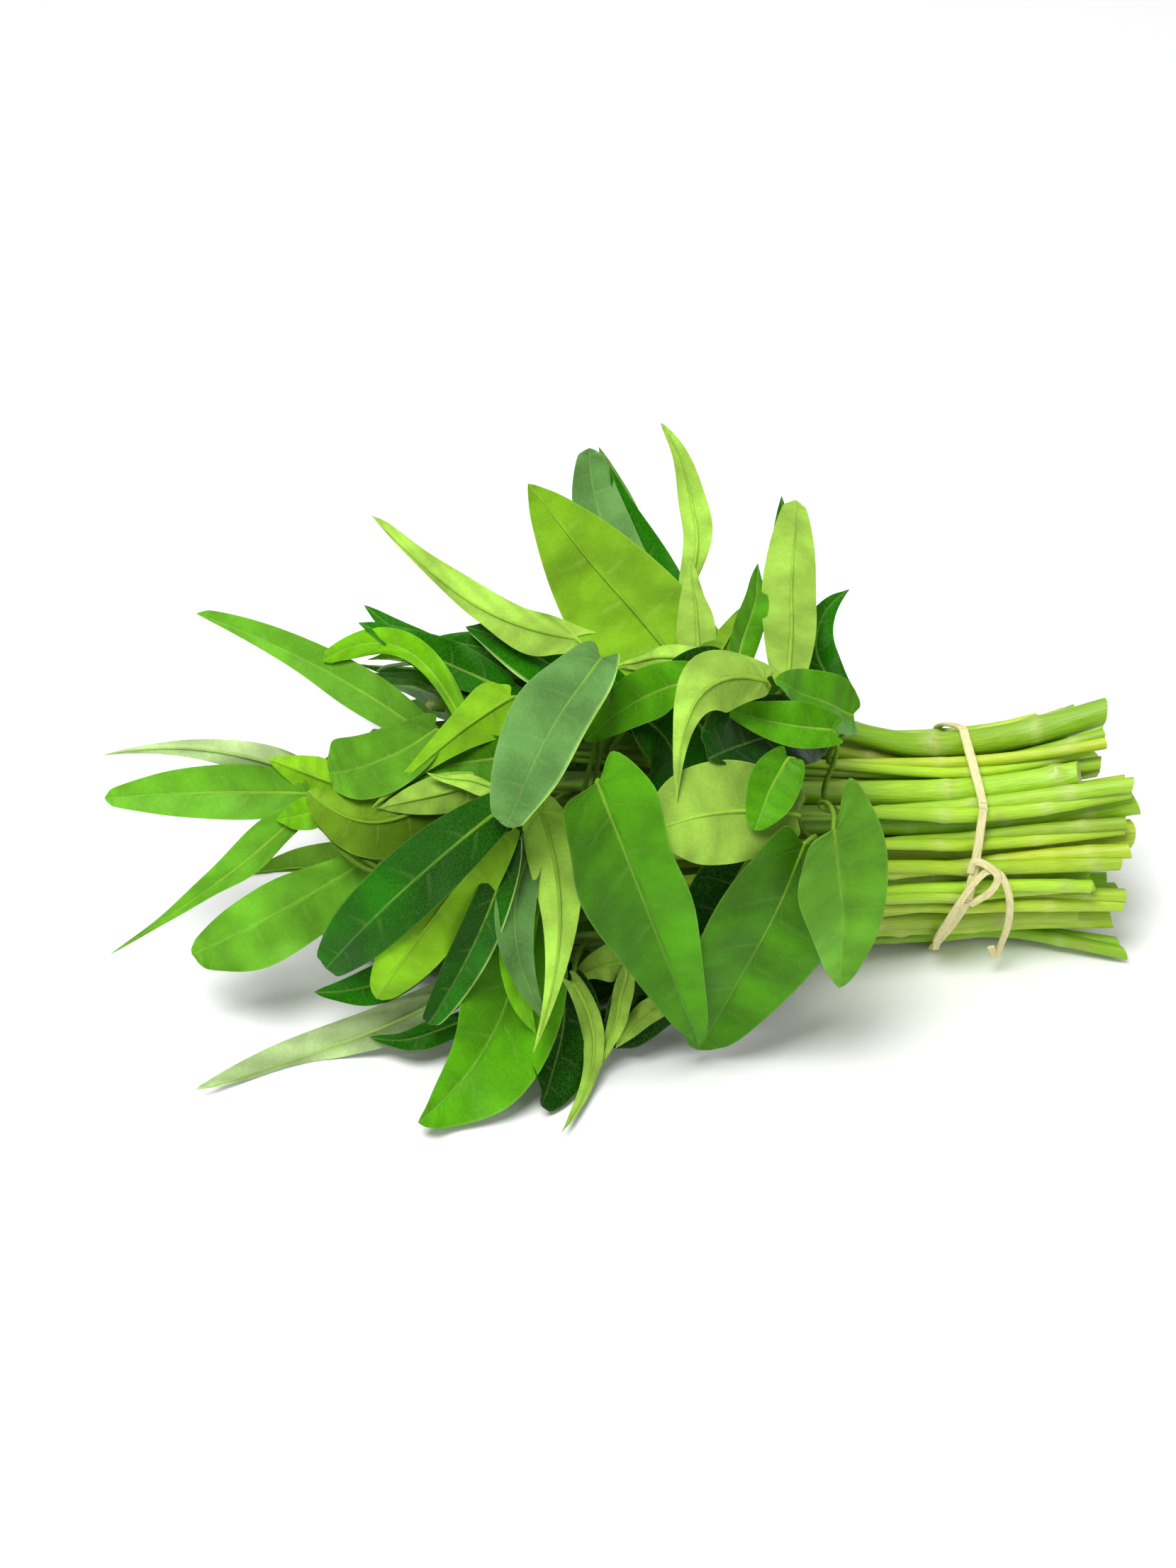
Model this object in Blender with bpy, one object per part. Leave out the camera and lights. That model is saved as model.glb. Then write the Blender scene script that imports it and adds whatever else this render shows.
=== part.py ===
"""Bunch of water spinach lying down: leafy stems, side by side, held by one knotted strip tie.

Metres, +Z up. +X runs along the stems towards their cut ends, -Y is the side seen first, and
the origin is the middle of the footprint, on the surface that the bunch lies on.
"""

import math
import random
from collections import namedtuple

import bmesh
import bpy
import numpy as np
from mathutils import Matrix, Vector
from mathutils.bvhtree import BVHTree

MM = 0.001

# Stems, where the tie holds them
STEMS = 57
STEM_RADIUS = (3.6 * MM, 4.8 * MM)
STEM_GAP = 0.9 * MM
BUNDLE_HALF_WIDTH = 40 * MM
BUNDLE_HALF_HEIGHT = 35 * MM
BUNDLE_DROP = 35 * MM
TOP_STEM_RISE = 13 * MM
PACK_STEPS = 1500
STEM_SIDES = 6

# Places along the bunch
TIE_X = 128 * MM
CUT_END_X = (168 * MM, 192 * MM)
SHOOT_TIP_X = (-80 * MM, 55 * MM)
CUT_REACH = 62 * MM
LEAF_REACH = 250 * MM

# Tie: a flat strip round the bundle
TIE_WIDTH = 3.3 * MM
TIE_THICKNESS = 1.2 * MM
TIE_GAP = 0.5 * MM
TIE_POINTS = 60
TIE_SWAY = 6 * MM
TIE_LEAN = 0.15
AXIS_HEIGHT = BUNDLE_DROP + TIE_GAP + TIE_THICKNESS

# Blades and petioles
BLADE_THICKNESS = 1.0 * MM
BLADE_CLEARANCE = 0.5 * MM
PETIOLE_RADIUS = 1.3 * MM
PETIOLE_STEPS = 3
FLOOR_CLEARANCE = 0.6 * MM
SHOOT_EVERY = 3
SEED = 7
Group = namedtuple("Group", "name seed tries count turns starts lengths leans")
INNER_LEAVES = Group("inner", 0, 200, 26, (-20, 150), (-60, 70), (34, 62), (5, 45))
BACK_LEAVES = Group("back", 500, 260, 52, (165, 370), (-90, 75), (66, 100), (10, 60))

# The reference view: a photograph of this many pixels, with this scale at the bunch's middle
PHOTO_WIDTH, PHOTO_HEIGHT = 1659, 2212
PIXEL = 0.25 * MM
VIEW_AZIMUTH = math.radians(-8)
VIEW_ELEVATION = math.radians(40)
VIEW_DISTANCE = 1.2
AXIS_BELOW_CENTRE = 19 * MM

# The view's own axes, in world directions
RIGHT = Vector((math.cos(VIEW_AZIMUTH), math.sin(VIEW_AZIMUTH), 0))
BACK = Vector((
    math.sin(VIEW_AZIMUTH) * math.cos(VIEW_ELEVATION),
    -math.cos(VIEW_AZIMUTH) * math.cos(VIEW_ELEVATION),
    math.sin(VIEW_ELEVATION),
))
UP = BACK.cross(RIGHT)

TOP, UNDER = 1, -1
# Blade outlines: (share of the length, share of the half width) from a lobe's end to the tip
ARROW = ((-0.2, 0.6), (0.0, 0.96), (0.25, 1.0), (0.54, 0.78), (0.82, 0.38))
LANCE = ((-0.1, 0.5), (0.08, 0.84), (0.32, 1.0), (0.6, 0.76), (0.86, 0.34))
OVAL = ((-0.06, 0.46), (0.14, 0.86), (0.38, 1.0), (0.64, 0.86), (0.88, 0.48))
BLUNT = ((-0.04, 0.42), (0.14, 0.8), (0.42, 1.0), (0.72, 0.9), (0.94, 0.52))
DROP = ((-0.04, 0.5), (0.06, 0.88), (0.24, 1.0), (0.52, 0.62), (0.8, 0.24))
ROUND = ((-0.05, 0.45), (0.12, 0.84), (0.34, 1.0), (0.66, 0.82), (0.93, 0.4))
SHEER = ((0.0, 0.66), (0.14, 0.86), (0.33, 1.0), (0.58, 0.74), (0.84, 0.38))
WAVED = ((-0.08, 0.42), (0.05, 0.8), (0.27, 0.7), (0.5, 0.74), (0.82, 0.42))
HOOKED = ((-0.26, 0.45), (-0.08, 0.82), (0.2, 1.0), (0.54, 0.82), (0.84, 0.42))
Leaf = namedtuple("Leaf", "name side base middle tip half_width form other roll fold")


def leaf(name, side, base, middle, tip, half_width, form=LANCE, other=None, roll=0, fold=14):
    """A leaf seen in the reference view: pixels of its base, middle and tip, and its half width in mm.

    side is the face that the view sees. form is the outline on the right hand of one who goes
    from base to tip, and other the outline on the left hand where that differs. roll turns the
    blade about its midrib, and fold is how far each half stands up from flat, both in degrees.
    """
    return Leaf(name, side, base, middle, tip, half_width * MM, form, other or form, roll, fold)


# Leaves that the reference view shows, from the furthest to the nearest
SEEN_LEAVES = (
    leaf("crown_behind", TOP, (1112, 955), (1106, 830), (1103, 698), 8),
    leaf("crown_shadow", UNDER, (940, 900), (895, 760), (842, 627), 7),
    leaf("crown_edge", TOP, (985, 900), (918, 770), (861, 658), 7),
    leaf("crown_grey", TOP, (945, 900), (860, 765), (832, 634), 10, BLUNT),
    leaf("crown_spear", UNDER, (970, 832), (972, 712), (930, 597), 6, DROP, BLUNT, roll=15),
    leaf("crown_large", UNDER, (945, 922), (838, 798), (744, 683), 22, ARROW),
    leaf("crown_cuff", UNDER, (986, 930), (981, 865), (972, 792), 7),
    leaf("ridge_low", UNDER, (1000, 945), (1025, 905), (1050, 858), 7),
    leaf("ridge_blade", TOP, (1035, 945), (1060, 865), (1075, 787), 6, roll=20),
    leaf("upright_pale", UNDER, (1112, 958), (1112, 833), (1121, 710), 10, BLUNT),
    leaf("shoulder_dark", TOP, (1190, 985), (1168, 900), (1199, 830), 7),
    leaf("rear_flat", TOP, (780, 935), (690, 915), (604, 903), 7),
    leaf("rear_spread", TOP, (740, 1010), (625, 925), (513, 853), 9),
    leaf("rear_narrow", TOP, (700, 968), (600, 915), (506, 880), 8),
    leaf("rear_hook", TOP, (652, 1020), (567, 924), (455, 932), 6, BLUNT),
    leaf("rear_mid", TOP, (880, 990), (800, 940), (738, 905), 9),
    leaf("rear_fan", TOP, (840, 975), (745, 920), (655, 882), 11),
    leaf("rear_pale", UNDER, (812, 900), (668, 850), (528, 731), 8, OVAL, DROP),
    leaf("far_sabre", TOP, (605, 1040), (452, 946), (278, 866), 8, ROUND),
    leaf("end_white", UNDER, (442, 1098), (290, 1066), (144, 1066), 6, DROP),
    leaf("end_broad", TOP, (436, 1120), (290, 1118), (148, 1126), 10, ROUND),
    leaf("end_hanging", TOP, (422, 1150), (276, 1246), (153, 1347), 7, DROP, roll=15),
    leaf("end_wavy", TOP, (545, 1195), (413, 1275), (268, 1349), 12, OVAL, SHEER),
    leaf("low_silver", UNDER, (640, 1400), (458, 1468), (269, 1532), 8, OVAL, DROP),
    leaf("low_small", TOP, (660, 1435), (590, 1462), (520, 1464), 5),
    leaf("low_dark", TOP, (590, 1362), (515, 1392), (442, 1400), 7),
    leaf("young_upper", UNDER, (470, 1104), (425, 1088), (378, 1071), 7),
    leaf("young_lower", TOP, (462, 1140), (425, 1150), (388, 1156), 6),
    leaf("curl_olive", UNDER, (612, 1128), (520, 1160), (436, 1116), 13, OVAL),
    leaf("mid_green", TOP, (718, 1070), (640, 1078), (576, 1098), 9),
    leaf("mid_pale", UNDER, (660, 1108), (600, 1125), (532, 1140), 7),
    leaf("mid_round", TOP, (615, 1030), (535, 1064), (462, 1086), 13, BLUNT),
    leaf("mid_bright", UNDER, (722, 984), (648, 1034), (522, 1141), 10, DROP),
    leaf("mid_rolled", UNDER, (706, 1112), (655, 1102), (602, 1093), 4, roll=40),
    leaf("heart_rim", UNDER, (982, 925), (925, 930), (872, 940), 5),
    leaf("heart_top", TOP, (1020, 955), (975, 945), (925, 970), 8),
    leaf("heart_deep", TOP, (1148, 1035), (1072, 1055), (1000, 1105), 13, OVAL),
    leaf("core_deep", TOP, (1060, 1205), (1010, 1285), (965, 1370), 14, OVAL),
    leaf("heart_dark", TOP, (900, 1010), (955, 1080), (925, 1185), 12, OVAL),
    leaf("heart_green", TOP, (990, 962), (905, 985), (824, 1047), 9, OVAL),
    leaf("heart_pale", UNDER, (1125, 1150), (1020, 1146), (926, 1172), 17, BLUNT, fold=6),
    leaf("front_shadow", TOP, (945, 1365), (905, 1420), (862, 1478), 13, OVAL),
    leaf("front_tongue", UNDER, (946, 1412), (905, 1440), (868, 1476), 5),
    leaf("front_sprig", UNDER, (890, 1362), (850, 1362), (806, 1387), 7),
    leaf("front_ribbon", UNDER, (884, 1375), (868, 1440), (848, 1506), 4, roll=30),
    leaf("skirt_shade", TOP, (752, 1185), (738, 1290), (705, 1400), 12, OVAL),
    leaf("skirt_fold", TOP, (792, 1380), (806, 1470), (772, 1570), 13, OVAL, BLUNT, roll=-15),
    leaf("skirt_pale", UNDER, (808, 1385), (856, 1488), (793, 1597), 4),
    leaf("skirt_large", TOP, (735, 1262), (724, 1450), (592, 1598), 17, SHEER, BLUNT),
    leaf("skirt_bright", TOP, (745, 1280), (728, 1370), (758, 1466), 6),
    leaf("skirt_blue", TOP, (748, 1200), (740, 1320), (772, 1444), 7),
    leaf("side_dark", TOP, (722, 1190), (672, 1325), (606, 1440), 7, BLUNT),
    leaf("side_bright", UNDER, (705, 1174), (615, 1290), (530, 1410), 12, BLUNT),
    leaf("side_long", TOP, (708, 1140), (566, 1258), (450, 1376), 12, BLUNT),
    leaf("front_hanging", UNDER, (762, 1142), (790, 1308), (752, 1480), 9, DROP),
    leaf("front_grey", TOP, (849, 928), (776, 1036), (716, 1168), 14, BLUNT, roll=18, fold=24),
    leaf("shoulder_shadow", TOP, (1112, 1070), (1084, 1120), (1064, 1172), 9, OVAL),
    leaf("shoulder_grey", TOP, (1202, 1010), (1148, 985), (1092, 958), 10, OVAL),
    leaf("shoulder_green", TOP, (1172, 1030), (1090, 1018), (1008, 992), 8),
    leaf("shoulder_curl", UNDER, (1080, 960), (985, 985), (955, 1132), 10, ROUND, DROP),
    leaf("front_cheek", TOP, (1120, 1050), (1138, 1112), (1156, 1186), 10, BLUNT),
    leaf("front_oval", TOP, (1135, 1190), (1064, 1345), (985, 1476), 22, OVAL),
    leaf("front_spear", TOP, (842, 1104), (913, 1285), (986, 1472), 21, SHEER, WAVED, fold=20),
    leaf("front_arrow", TOP, (1176, 1170), (1187, 1285), (1188, 1404), 16, SHEER, HOOKED),
    leaf("stray_small", TOP, (1238, 1316), (1256, 1312), (1276, 1314), 5),
)
MIDRIB = (0.0, 0.25, 0.52, 0.8)
# How far base and tip of a seen leaf are moved towards the viewer, in the order tried
SEEN_PUSHES = sorted(
    ((b * 3 * MM, t * 3 * MM) for b in range(-7, 25) for t in range(-7, 17)),
    key=lambda push: sum(push) + 0.25 * abs(push[0] - push[1]),
)
# The leafy part's outline in the reference view, in pixels: no filler leaf shows beyond it
LEAFY_OUTLINE = (
    (1325, 1032), (1203, 989), (1198, 838), (1152, 896), (1149, 726), (1105, 706), (1071, 925),
    (1074, 792), (1017, 906), (949, 800), (861, 662), (842, 630), (746, 685), (778, 852),
    (527, 728), (676, 887), (517, 853), (520, 896), (457, 930), (617, 1013), (284, 866),
    (491, 1018), (461, 1067), (374, 1052), (149, 1065), (151, 1125), (364, 1157), (432, 1169),
    (154, 1345), (486, 1194), (271, 1348), (422, 1348), (520, 1406), (274, 1533), (598, 1442),
    (637, 1472), (588, 1595), (754, 1476), (761, 1554), (793, 1593), (853, 1476), (949, 1442),
    (988, 1476), (1154, 1379), (1188, 1400), (1230, 1345), (1330, 1330),
)
# Triangles of one half of one face: m is a midrib place, e an outline place, and m4 is the tip
HALF_BLADE = (
    ("m0", "e0", "e1"), ("m0", "e1", "e2"), ("m0", "e2", "m1"), ("m1", "e2", "e3"),
    ("m1", "e3", "m2"), ("m2", "e3", "e4"), ("m2", "e4", "m3"), ("m3", "e4", "m4"),
)


def clamp(value, low, high):
    return max(low, min(high, value))


# Bunch axis and stems


def axis(x):
    """The bunch's middle line: level through the tie, and propped up by its leaves beyond."""
    rise = clamp((TIE_X - x) / LEAF_REACH, 0, 1.2)
    return Vector((x, 0, AXIS_HEIGHT + 26 * MM * rise))


VIEW_ORIGIN = axis(0) + UP * AXIS_BELOW_CENTRE
VIEWER = VIEW_ORIGIN + BACK * VIEW_DISTANCE


def past_tie(x):
    """How far x is on the way from the tie's end side to the cut ends."""
    return max(0.0, (x - TIE_X - 10 * MM) / CUT_REACH)


def fan(x):
    """How much wider than at the tie the stems stand at x: sideways, upwards and downwards."""
    if x > TIE_X:
        out = past_tie(x) ** 1.6
        return 1 + 0.24 * out, 1 + 0.34 * out, 1 + 0.04 * out
    out = max(0.0, (TIE_X - 12 * MM - x) / LEAF_REACH) ** 1.2
    return 1 + 0.85 * out, 1 + 0.55 * out, 1 + 0.42 * out


def pack_stems():
    """Radii and centres (across, up) of the stems in the tie, pressed together but apart."""
    draw = random.Random(SEED)
    radii = np.array([draw.uniform(*STEM_RADIUS) for _ in range(STEMS)])
    turn = math.pi * (3 - math.sqrt(5))
    out = np.sqrt((np.arange(STEMS) + 0.5) / STEMS)
    angle = np.arange(STEMS) * turn
    centres = np.stack(
        [BUNDLE_HALF_WIDTH * out * np.cos(angle), BUNDLE_HALF_HEIGHT * out * np.sin(angle)], axis=1
    )
    apart = radii[:, None] + radii[None, :] + STEM_GAP
    np.fill_diagonal(apart, 0)
    for step in range(PACK_STEPS):
        if step < PACK_STEPS * 0.6:
            centres *= 0.995
        between = centres[:, None, :] - centres[None, :, :]
        distance = np.linalg.norm(between, axis=2) + 1e-9
        push = np.maximum(0, apart - distance) * 0.5
        centres += (between / distance[:, :, None] * push[:, :, None]).sum(axis=1) * 0.5
        centres[:, 1] = np.maximum(centres[:, 1], radii - BUNDLE_DROP)
    return radii, centres


def make_stem_shapes():
    """For each stem: its place in the tie, radius, ends and the small sway of its own."""
    draw = random.Random(SEED + 1)
    radii, centres = pack_stems()
    shapes = []
    for number in range(STEMS):
        shapes.append({
            "at": centres[number],
            "radius": float(radii[number]),
            "cut": draw.uniform(*CUT_END_X),
            "tip": SHOOT_TIP_X[0] + (SHOOT_TIP_X[1] - SHOOT_TIP_X[0]) * draw.random() ** 1.3,
            "sway": (draw.uniform(-1, 1), draw.uniform(-1, 1)),
            "phase": draw.uniform(0, math.tau),
            "stray": 0.0,
            "rise": 0.0,
        })
    # The lowest stem in the view has come loose and ends further forward than the others.
    stray = shapes[int(np.argmin([s["at"] @ np.array([UP.y, UP.z]) for s in shapes]))]
    stray["stray"] = 1.0
    stray["cut"] = CUT_END_X[1]
    # The topmost stems in the view bend up and away from the others towards their leaves.
    heights = [s["at"] @ np.array([UP.y, UP.z]) for s in shapes]
    for shape, height in zip(shapes, heights):
        if height > 0.72 * max(heights):
            shape["rise"] = TOP_STEM_RISE
    return shapes


def stem_centre(shape, x):
    """Where this stem's middle is at x."""
    wide, high, low = fan(x)
    across, up = (float(value) for value in shape["at"])
    room = 3.2 * MM * min(wide - 1, low - 1)
    wave = math.sin(shape["phase"] + x / (38 * MM))
    middle = axis(x)
    y = across * wide + room * shape["sway"][0] * wave
    z = up * (high if up > 0 else low) + room * shape["sway"][1] * wave
    if shape["stray"] and x > TIE_X:
        slip = past_tie(x) ** 1.2
        y -= 15 * MM * slip
        z -= 1.5 * MM * slip
    bent = clamp((TIE_X - 12 * MM - x) / (70 * MM), 0, 1)
    y += UP.y * shape["rise"] * bent
    z += UP.z * shape["rise"] * bent
    return Vector((x, middle.y + y, middle.z + z))


def stem_radius(shape, x):
    if x > TIE_X:
        return shape["radius"] * (1 + 0.05 * (x - TIE_X) / CUT_REACH)
    along = (TIE_X - x) / (TIE_X - shape["tip"])
    return shape["radius"] * (1 - 0.52 * along)


def stem_stations(shape):
    """x of each ring, from the cut end to the shoot tip."""
    steps = 4
    first = TIE_X - 12 * MM
    leafward = [first + (shape["tip"] - first) * (k / steps) for k in range(steps + 1)]
    return [shape["cut"], TIE_X + 26 * MM, TIE_X + 10 * MM] + leafward


# Plain triangle meshes, as (points, faces)


def tube(path, radii, sides, point_end=False):
    """A closed tube of flat-sided rings along a path, with a pointed far end if asked."""
    points, faces = [], []
    for k, centre in enumerate(path):
        ahead = path[min(k + 1, len(path) - 1)] - path[max(k - 1, 0)]
        turn = ahead.to_track_quat("Z", "Y")
        for side in range(sides):
            angle = math.tau * side / sides
            spoke = Vector((math.cos(angle), math.sin(angle), 0)) * radii[k]
            points.append(centre + turn @ spoke)
    for k in range(len(path) - 1):
        for side in range(sides):
            a, b = k * sides + side, k * sides + (side + 1) % sides
            faces += [(a, b, b + sides), (a, b + sides, a + sides)]
    last = (len(path) - 1) * sides
    faces += [(0, side + 1, side) for side in range(1, sides - 1)]
    if point_end:
        points.append(path[-1] + (path[-1] - path[-2]).normalized() * radii[-1] * 1.5)
        faces += [(last + side, last + (side + 1) % sides, len(points) - 1) for side in range(sides)]
    else:
        faces += [(last, last + side, last + side + 1) for side in range(1, sides - 1)]
    return points, faces


def blade_place(spec, t, s):
    """A point of a blade's middle surface, and the blade's normal there.

    t runs along the midrib from the petiole to the tip, below 0 in the lobes, and s across.
    """
    base, bend, tip = spec["points"]
    length = (tip - base).length
    start = (bend - base).normalized()
    if t < 0:
        rib, ahead = base + start * (t * length), start
    else:
        rib = base * (1 - t) ** 2 + bend * (2 * t * (1 - t)) + tip * t**2
        ahead = ((bend - base) * (1 - t) + (tip - bend) * t).normalized()
    facing = spec["facing"][0].lerp(spec["facing"][1], clamp(t, 0, 1))
    normal = (facing - ahead * facing.dot(ahead)).normalized()
    across = ahead.cross(normal)
    place = rib + across * (s * math.cos(spec["fold"])) + normal * (abs(s) * math.sin(spec["fold"]))
    return place, normal


def blade_corner(corner, side, face):
    """The name of a corner on this side of the midrib and this face of the blade."""
    if corner == "m4":
        return corner
    if corner[0] == "m":
        return corner + ("+" if face > 0 else "-")
    return f"{corner}{side}"


def leaf_mesh(spec, swell=0.0):
    """A lens-shaped blade, thickest at its midrib, and its petiole once that is known, in one skin.

    swell makes the blade that much larger all round.
    """
    half, length = spec["half_width"], (spec["points"][2] - spec["points"][0]).length
    thick = BLADE_THICKNESS / 2 + swell
    points, index, faces = [], {}, []

    def add(name, place):
        index[name] = len(points)
        points.append(Vector((place.x, place.y, max(place.z, FLOOR_CLEARANCE))))
        return points[-1]

    for k, t in enumerate(MIDRIB):
        place, normal = blade_place(spec, t, 0)
        place.z = max(place.z, FLOOR_CLEARANCE + thick)
        add(f"m{k}+", place + normal * thick)
        add(f"m{k}-", place - normal * thick)
    add("m4", blade_place(spec, 1 + swell / length, 0)[0])
    for side in (1, -1):
        for k, (t, s) in enumerate(spec["forms"][side]):
            add(f"e{k}{side}", blade_place(spec, t, side * (s * half + swell))[0])
        add(f"r{side}", blade_place(spec, 0, side * PETIOLE_RADIUS * 0.8)[0])
        for face in (1, -1):
            for corners in HALF_BLADE:
                triangle = [index[blade_corner(corner, side, face)] for corner in corners]
                faces.append(triangle if side * face > 0 else triangle[::-1])
        sinus = [("m0+", f"r{side}"), (f"r{side}", "m0-")]
        for first, second in sinus:
            shut = [index[f"e0{side}"], index[first], index[second]]
            faces.append(shut if side > 0 else shut[::-1])
    joint = [index[name] for name in ("m0+", "r1", "m0-", "r-1")]
    if "petiole" in spec:
        add_stalk(points, faces, joint, spec)
    else:
        faces += [[joint[0], joint[2], joint[1]], [joint[0], joint[3], joint[2]]]
    return points, faces


def add_stalk(points, faces, joint, spec):
    """Grows a four-sided stalk from the blade's foot back along the petiole's path."""
    path = spec["petiole"]
    normal = blade_place(spec, 0, 0)[1]
    ring = joint
    for k in range(len(path) - 2, -1, -1):
        ahead = (path[k + 1] - path[max(k - 1, 0)]).normalized()
        normal = (normal - ahead * normal.dot(ahead)).normalized()
        across = ahead.cross(normal)
        radius = petiole_radii(len(path))[k]
        first = len(points)
        for direction in (normal, across, -normal, -across):
            points.append(path[k] + direction * radius)
        behind = [first + corner for corner in range(4)]
        for corner in range(4):
            after = (corner + 1) % 4
            faces.append([ring[corner], behind[corner], behind[after]])
            faces.append([ring[corner], behind[after], ring[after]])
        ring = behind
    faces += [[ring[0], ring[2], ring[1]], [ring[0], ring[3], ring[2]]]


def petiole(start, start_ahead, spec):
    """The stalk from a stem's middle to the foot of a blade, along one smooth curve."""
    base, bend, _ = spec["points"]
    arrive = (bend - base).normalized()
    span = (base - start).length
    lead, trail = start + start_ahead * span * 0.4, base - arrive * span * 0.35
    path = []
    for k in range(PETIOLE_STEPS + 1):
        t = k / PETIOLE_STEPS
        place = start * (1 - t) ** 3 + lead * (3 * t * (1 - t) ** 2) + trail * (3 * t**2 * (1 - t)) + base * t**3
        place.z = max(place.z, PETIOLE_RADIUS + 0.2 * MM)
        path.append(place)
    return path


def petiole_radii(count, swell=0.0):
    return [PETIOLE_RADIUS * (1 - 0.25 * k / (count - 1)) + swell for k in range(count)]


# Places read from the reference view


def sight(pixel, depth):
    """The point seen at a pixel, this much nearer than the plane through the view's middle."""
    shrink = 1 - depth / VIEW_DISTANCE
    across = (pixel[0] - PHOTO_WIDTH / 2) * PIXEL * shrink
    up = (PHOTO_HEIGHT / 2 - pixel[1]) * PIXEL * shrink
    return VIEW_ORIGIN + RIGHT * across + UP * up + BACK * depth


def surface_depth(pixel):
    """How near the leafy mass comes on the line of sight through a pixel."""
    across = (pixel[0] - PHOTO_WIDTH / 2) * PIXEL
    up = (PHOTO_HEIGHT / 2 - pixel[1]) * PIXEL
    leafward = clamp((TIE_X - across) / LEAF_REACH, 0, 1.2)
    thick = 40 * MM + 28 * MM * math.sin(math.pi * min(1, leafward) ** 1.1) - 10 * MM * leafward
    share = (up + AXIS_BELOW_CENTRE) / (100 * MM)
    return across * BACK.x + thick * math.sqrt(max(0.05, 1 - share**2))


def floor_depth(pixel):
    """The depth at which the line of sight through a pixel comes down to the floor."""
    up = (PHOTO_HEIGHT / 2 - pixel[1]) * PIXEL
    return (2 * MM - VIEW_ORIGIN.z - up * UP.z) / BACK.z


def surface_facing(pixel):
    """The leafy mass's outward direction where the view sees a pixel."""
    step = 16
    across = (surface_depth((pixel[0] + step, pixel[1])) - surface_depth((pixel[0] - step, pixel[1])))
    down = (surface_depth((pixel[0], pixel[1] + step)) - surface_depth((pixel[0], pixel[1] - step)))
    run = 2 * step * PIXEL
    return (BACK - RIGHT * (across / run) * 0.6 + UP * (down / run) * 0.6).normalized()


def seen_spec(row, push):
    """A seen leaf's blade, its base and tip moved along the line of sight by the two of push."""
    pixels = (row.base, row.middle, row.tip)
    pushes = (push[0], (push[0] + push[1]) / 2, push[1])
    base, middle, tip = (
        sight(p, max(surface_depth(p) + moved, floor_depth(p))) for p, moved in zip(pixels, pushes)
    )
    points = [base, middle * 2 - (base + tip) * 0.5, tip]
    turn = Matrix.Rotation(math.radians(row.roll), 3, (points[2] - points[0]).normalized())
    facing = [turn @ surface_facing(p) * row.side for p in (row.base, row.tip)]
    return {
        "name": row.name, "points": points, "facing": facing, "side": row.side,
        "half_width": row.half_width, "fold": math.radians(row.fold),
        "forms": {row.side: row.form, -row.side: row.other},
    }


def to_pixel(place):
    """Where the reference view sees a point."""
    seen = place - VIEW_ORIGIN
    scale = VIEW_DISTANCE / (VIEW_DISTANCE - seen.dot(BACK)) / PIXEL
    return PHOTO_WIDTH / 2 + seen.dot(RIGHT) * scale, PHOTO_HEIGHT / 2 - seen.dot(UP) * scale


def in_outline(spec):
    """Whether the reference view sees the whole blade inside the leafy part's outline."""
    for place in leaf_mesh(spec)[0]:
        x, y = to_pixel(place)
        inside = False
        for k, (ax, ay) in enumerate(LEAFY_OUTLINE):
            bx, by = LEAFY_OUTLINE[k - 1]
            if (ay > y) != (by > y) and x < (bx - ax) * (y - ay) / (by - ay) + ax:
                inside = not inside
        if not inside:
            return False
    return True


def seeded_spec(group, number, push):
    """A leaf of a seeded group, moved out from the bunch's axis by push.

    A group says which turns about the axis it covers, in degrees from the top towards the
    front, where its leaves start along the bunch, how long they are and how far they lean out.
    """
    draw = random.Random(SEED * 1000 + group.seed + number)
    turn = math.radians(group.turns[0] + (group.turns[1] - group.turns[0]) * ((number * 0.618) % 1))
    swing = turn + math.radians(draw.uniform(-30, 30))
    start = draw.uniform(*group.starts) * MM
    length = draw.uniform(*group.lengths) * MM
    lean = math.radians(draw.uniform(*group.leans))
    half = length * draw.uniform(0.15, 0.22)
    side = TOP if draw.random() < 0.68 else UNDER
    wide, high, low = fan(start)

    def skin(angle, reach):
        up = math.cos(angle)
        tall = BUNDLE_HALF_HEIGHT * (high if up > 0 else low)
        return Vector((0, -math.sin(angle) * (BUNDLE_HALF_WIDTH * wide + reach), up * (tall + reach)))

    base = axis(start) + skin(turn, 5 * MM + push)
    outward = skin(turn, 0).normalized()
    ahead = Vector((-math.cos(lean), 0, 0)) + skin(swing, 0).normalized() * math.sin(lean)
    ahead.normalize()
    bend = base + ahead * length * 0.5 + outward * length * 0.06
    tip = base + ahead * length - Vector((0, 0, length * 0.14))
    for place in (base, bend, tip):
        place.z = max(place.z, FLOOR_CLEARANCE)
    fold = math.radians(draw.uniform(8, 22))
    form = draw.choice((ARROW, LANCE, OVAL))
    return {
        "name": f"{group.name}_{number}", "points": [base, bend, tip], "side": side,
        "facing": [outward * side, (outward + Vector((0, 0, 0.5))).normalized() * side],
        "half_width": half, "fold": fold, "forms": {1: form, -1: form}, "filler": True,
    }


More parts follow.
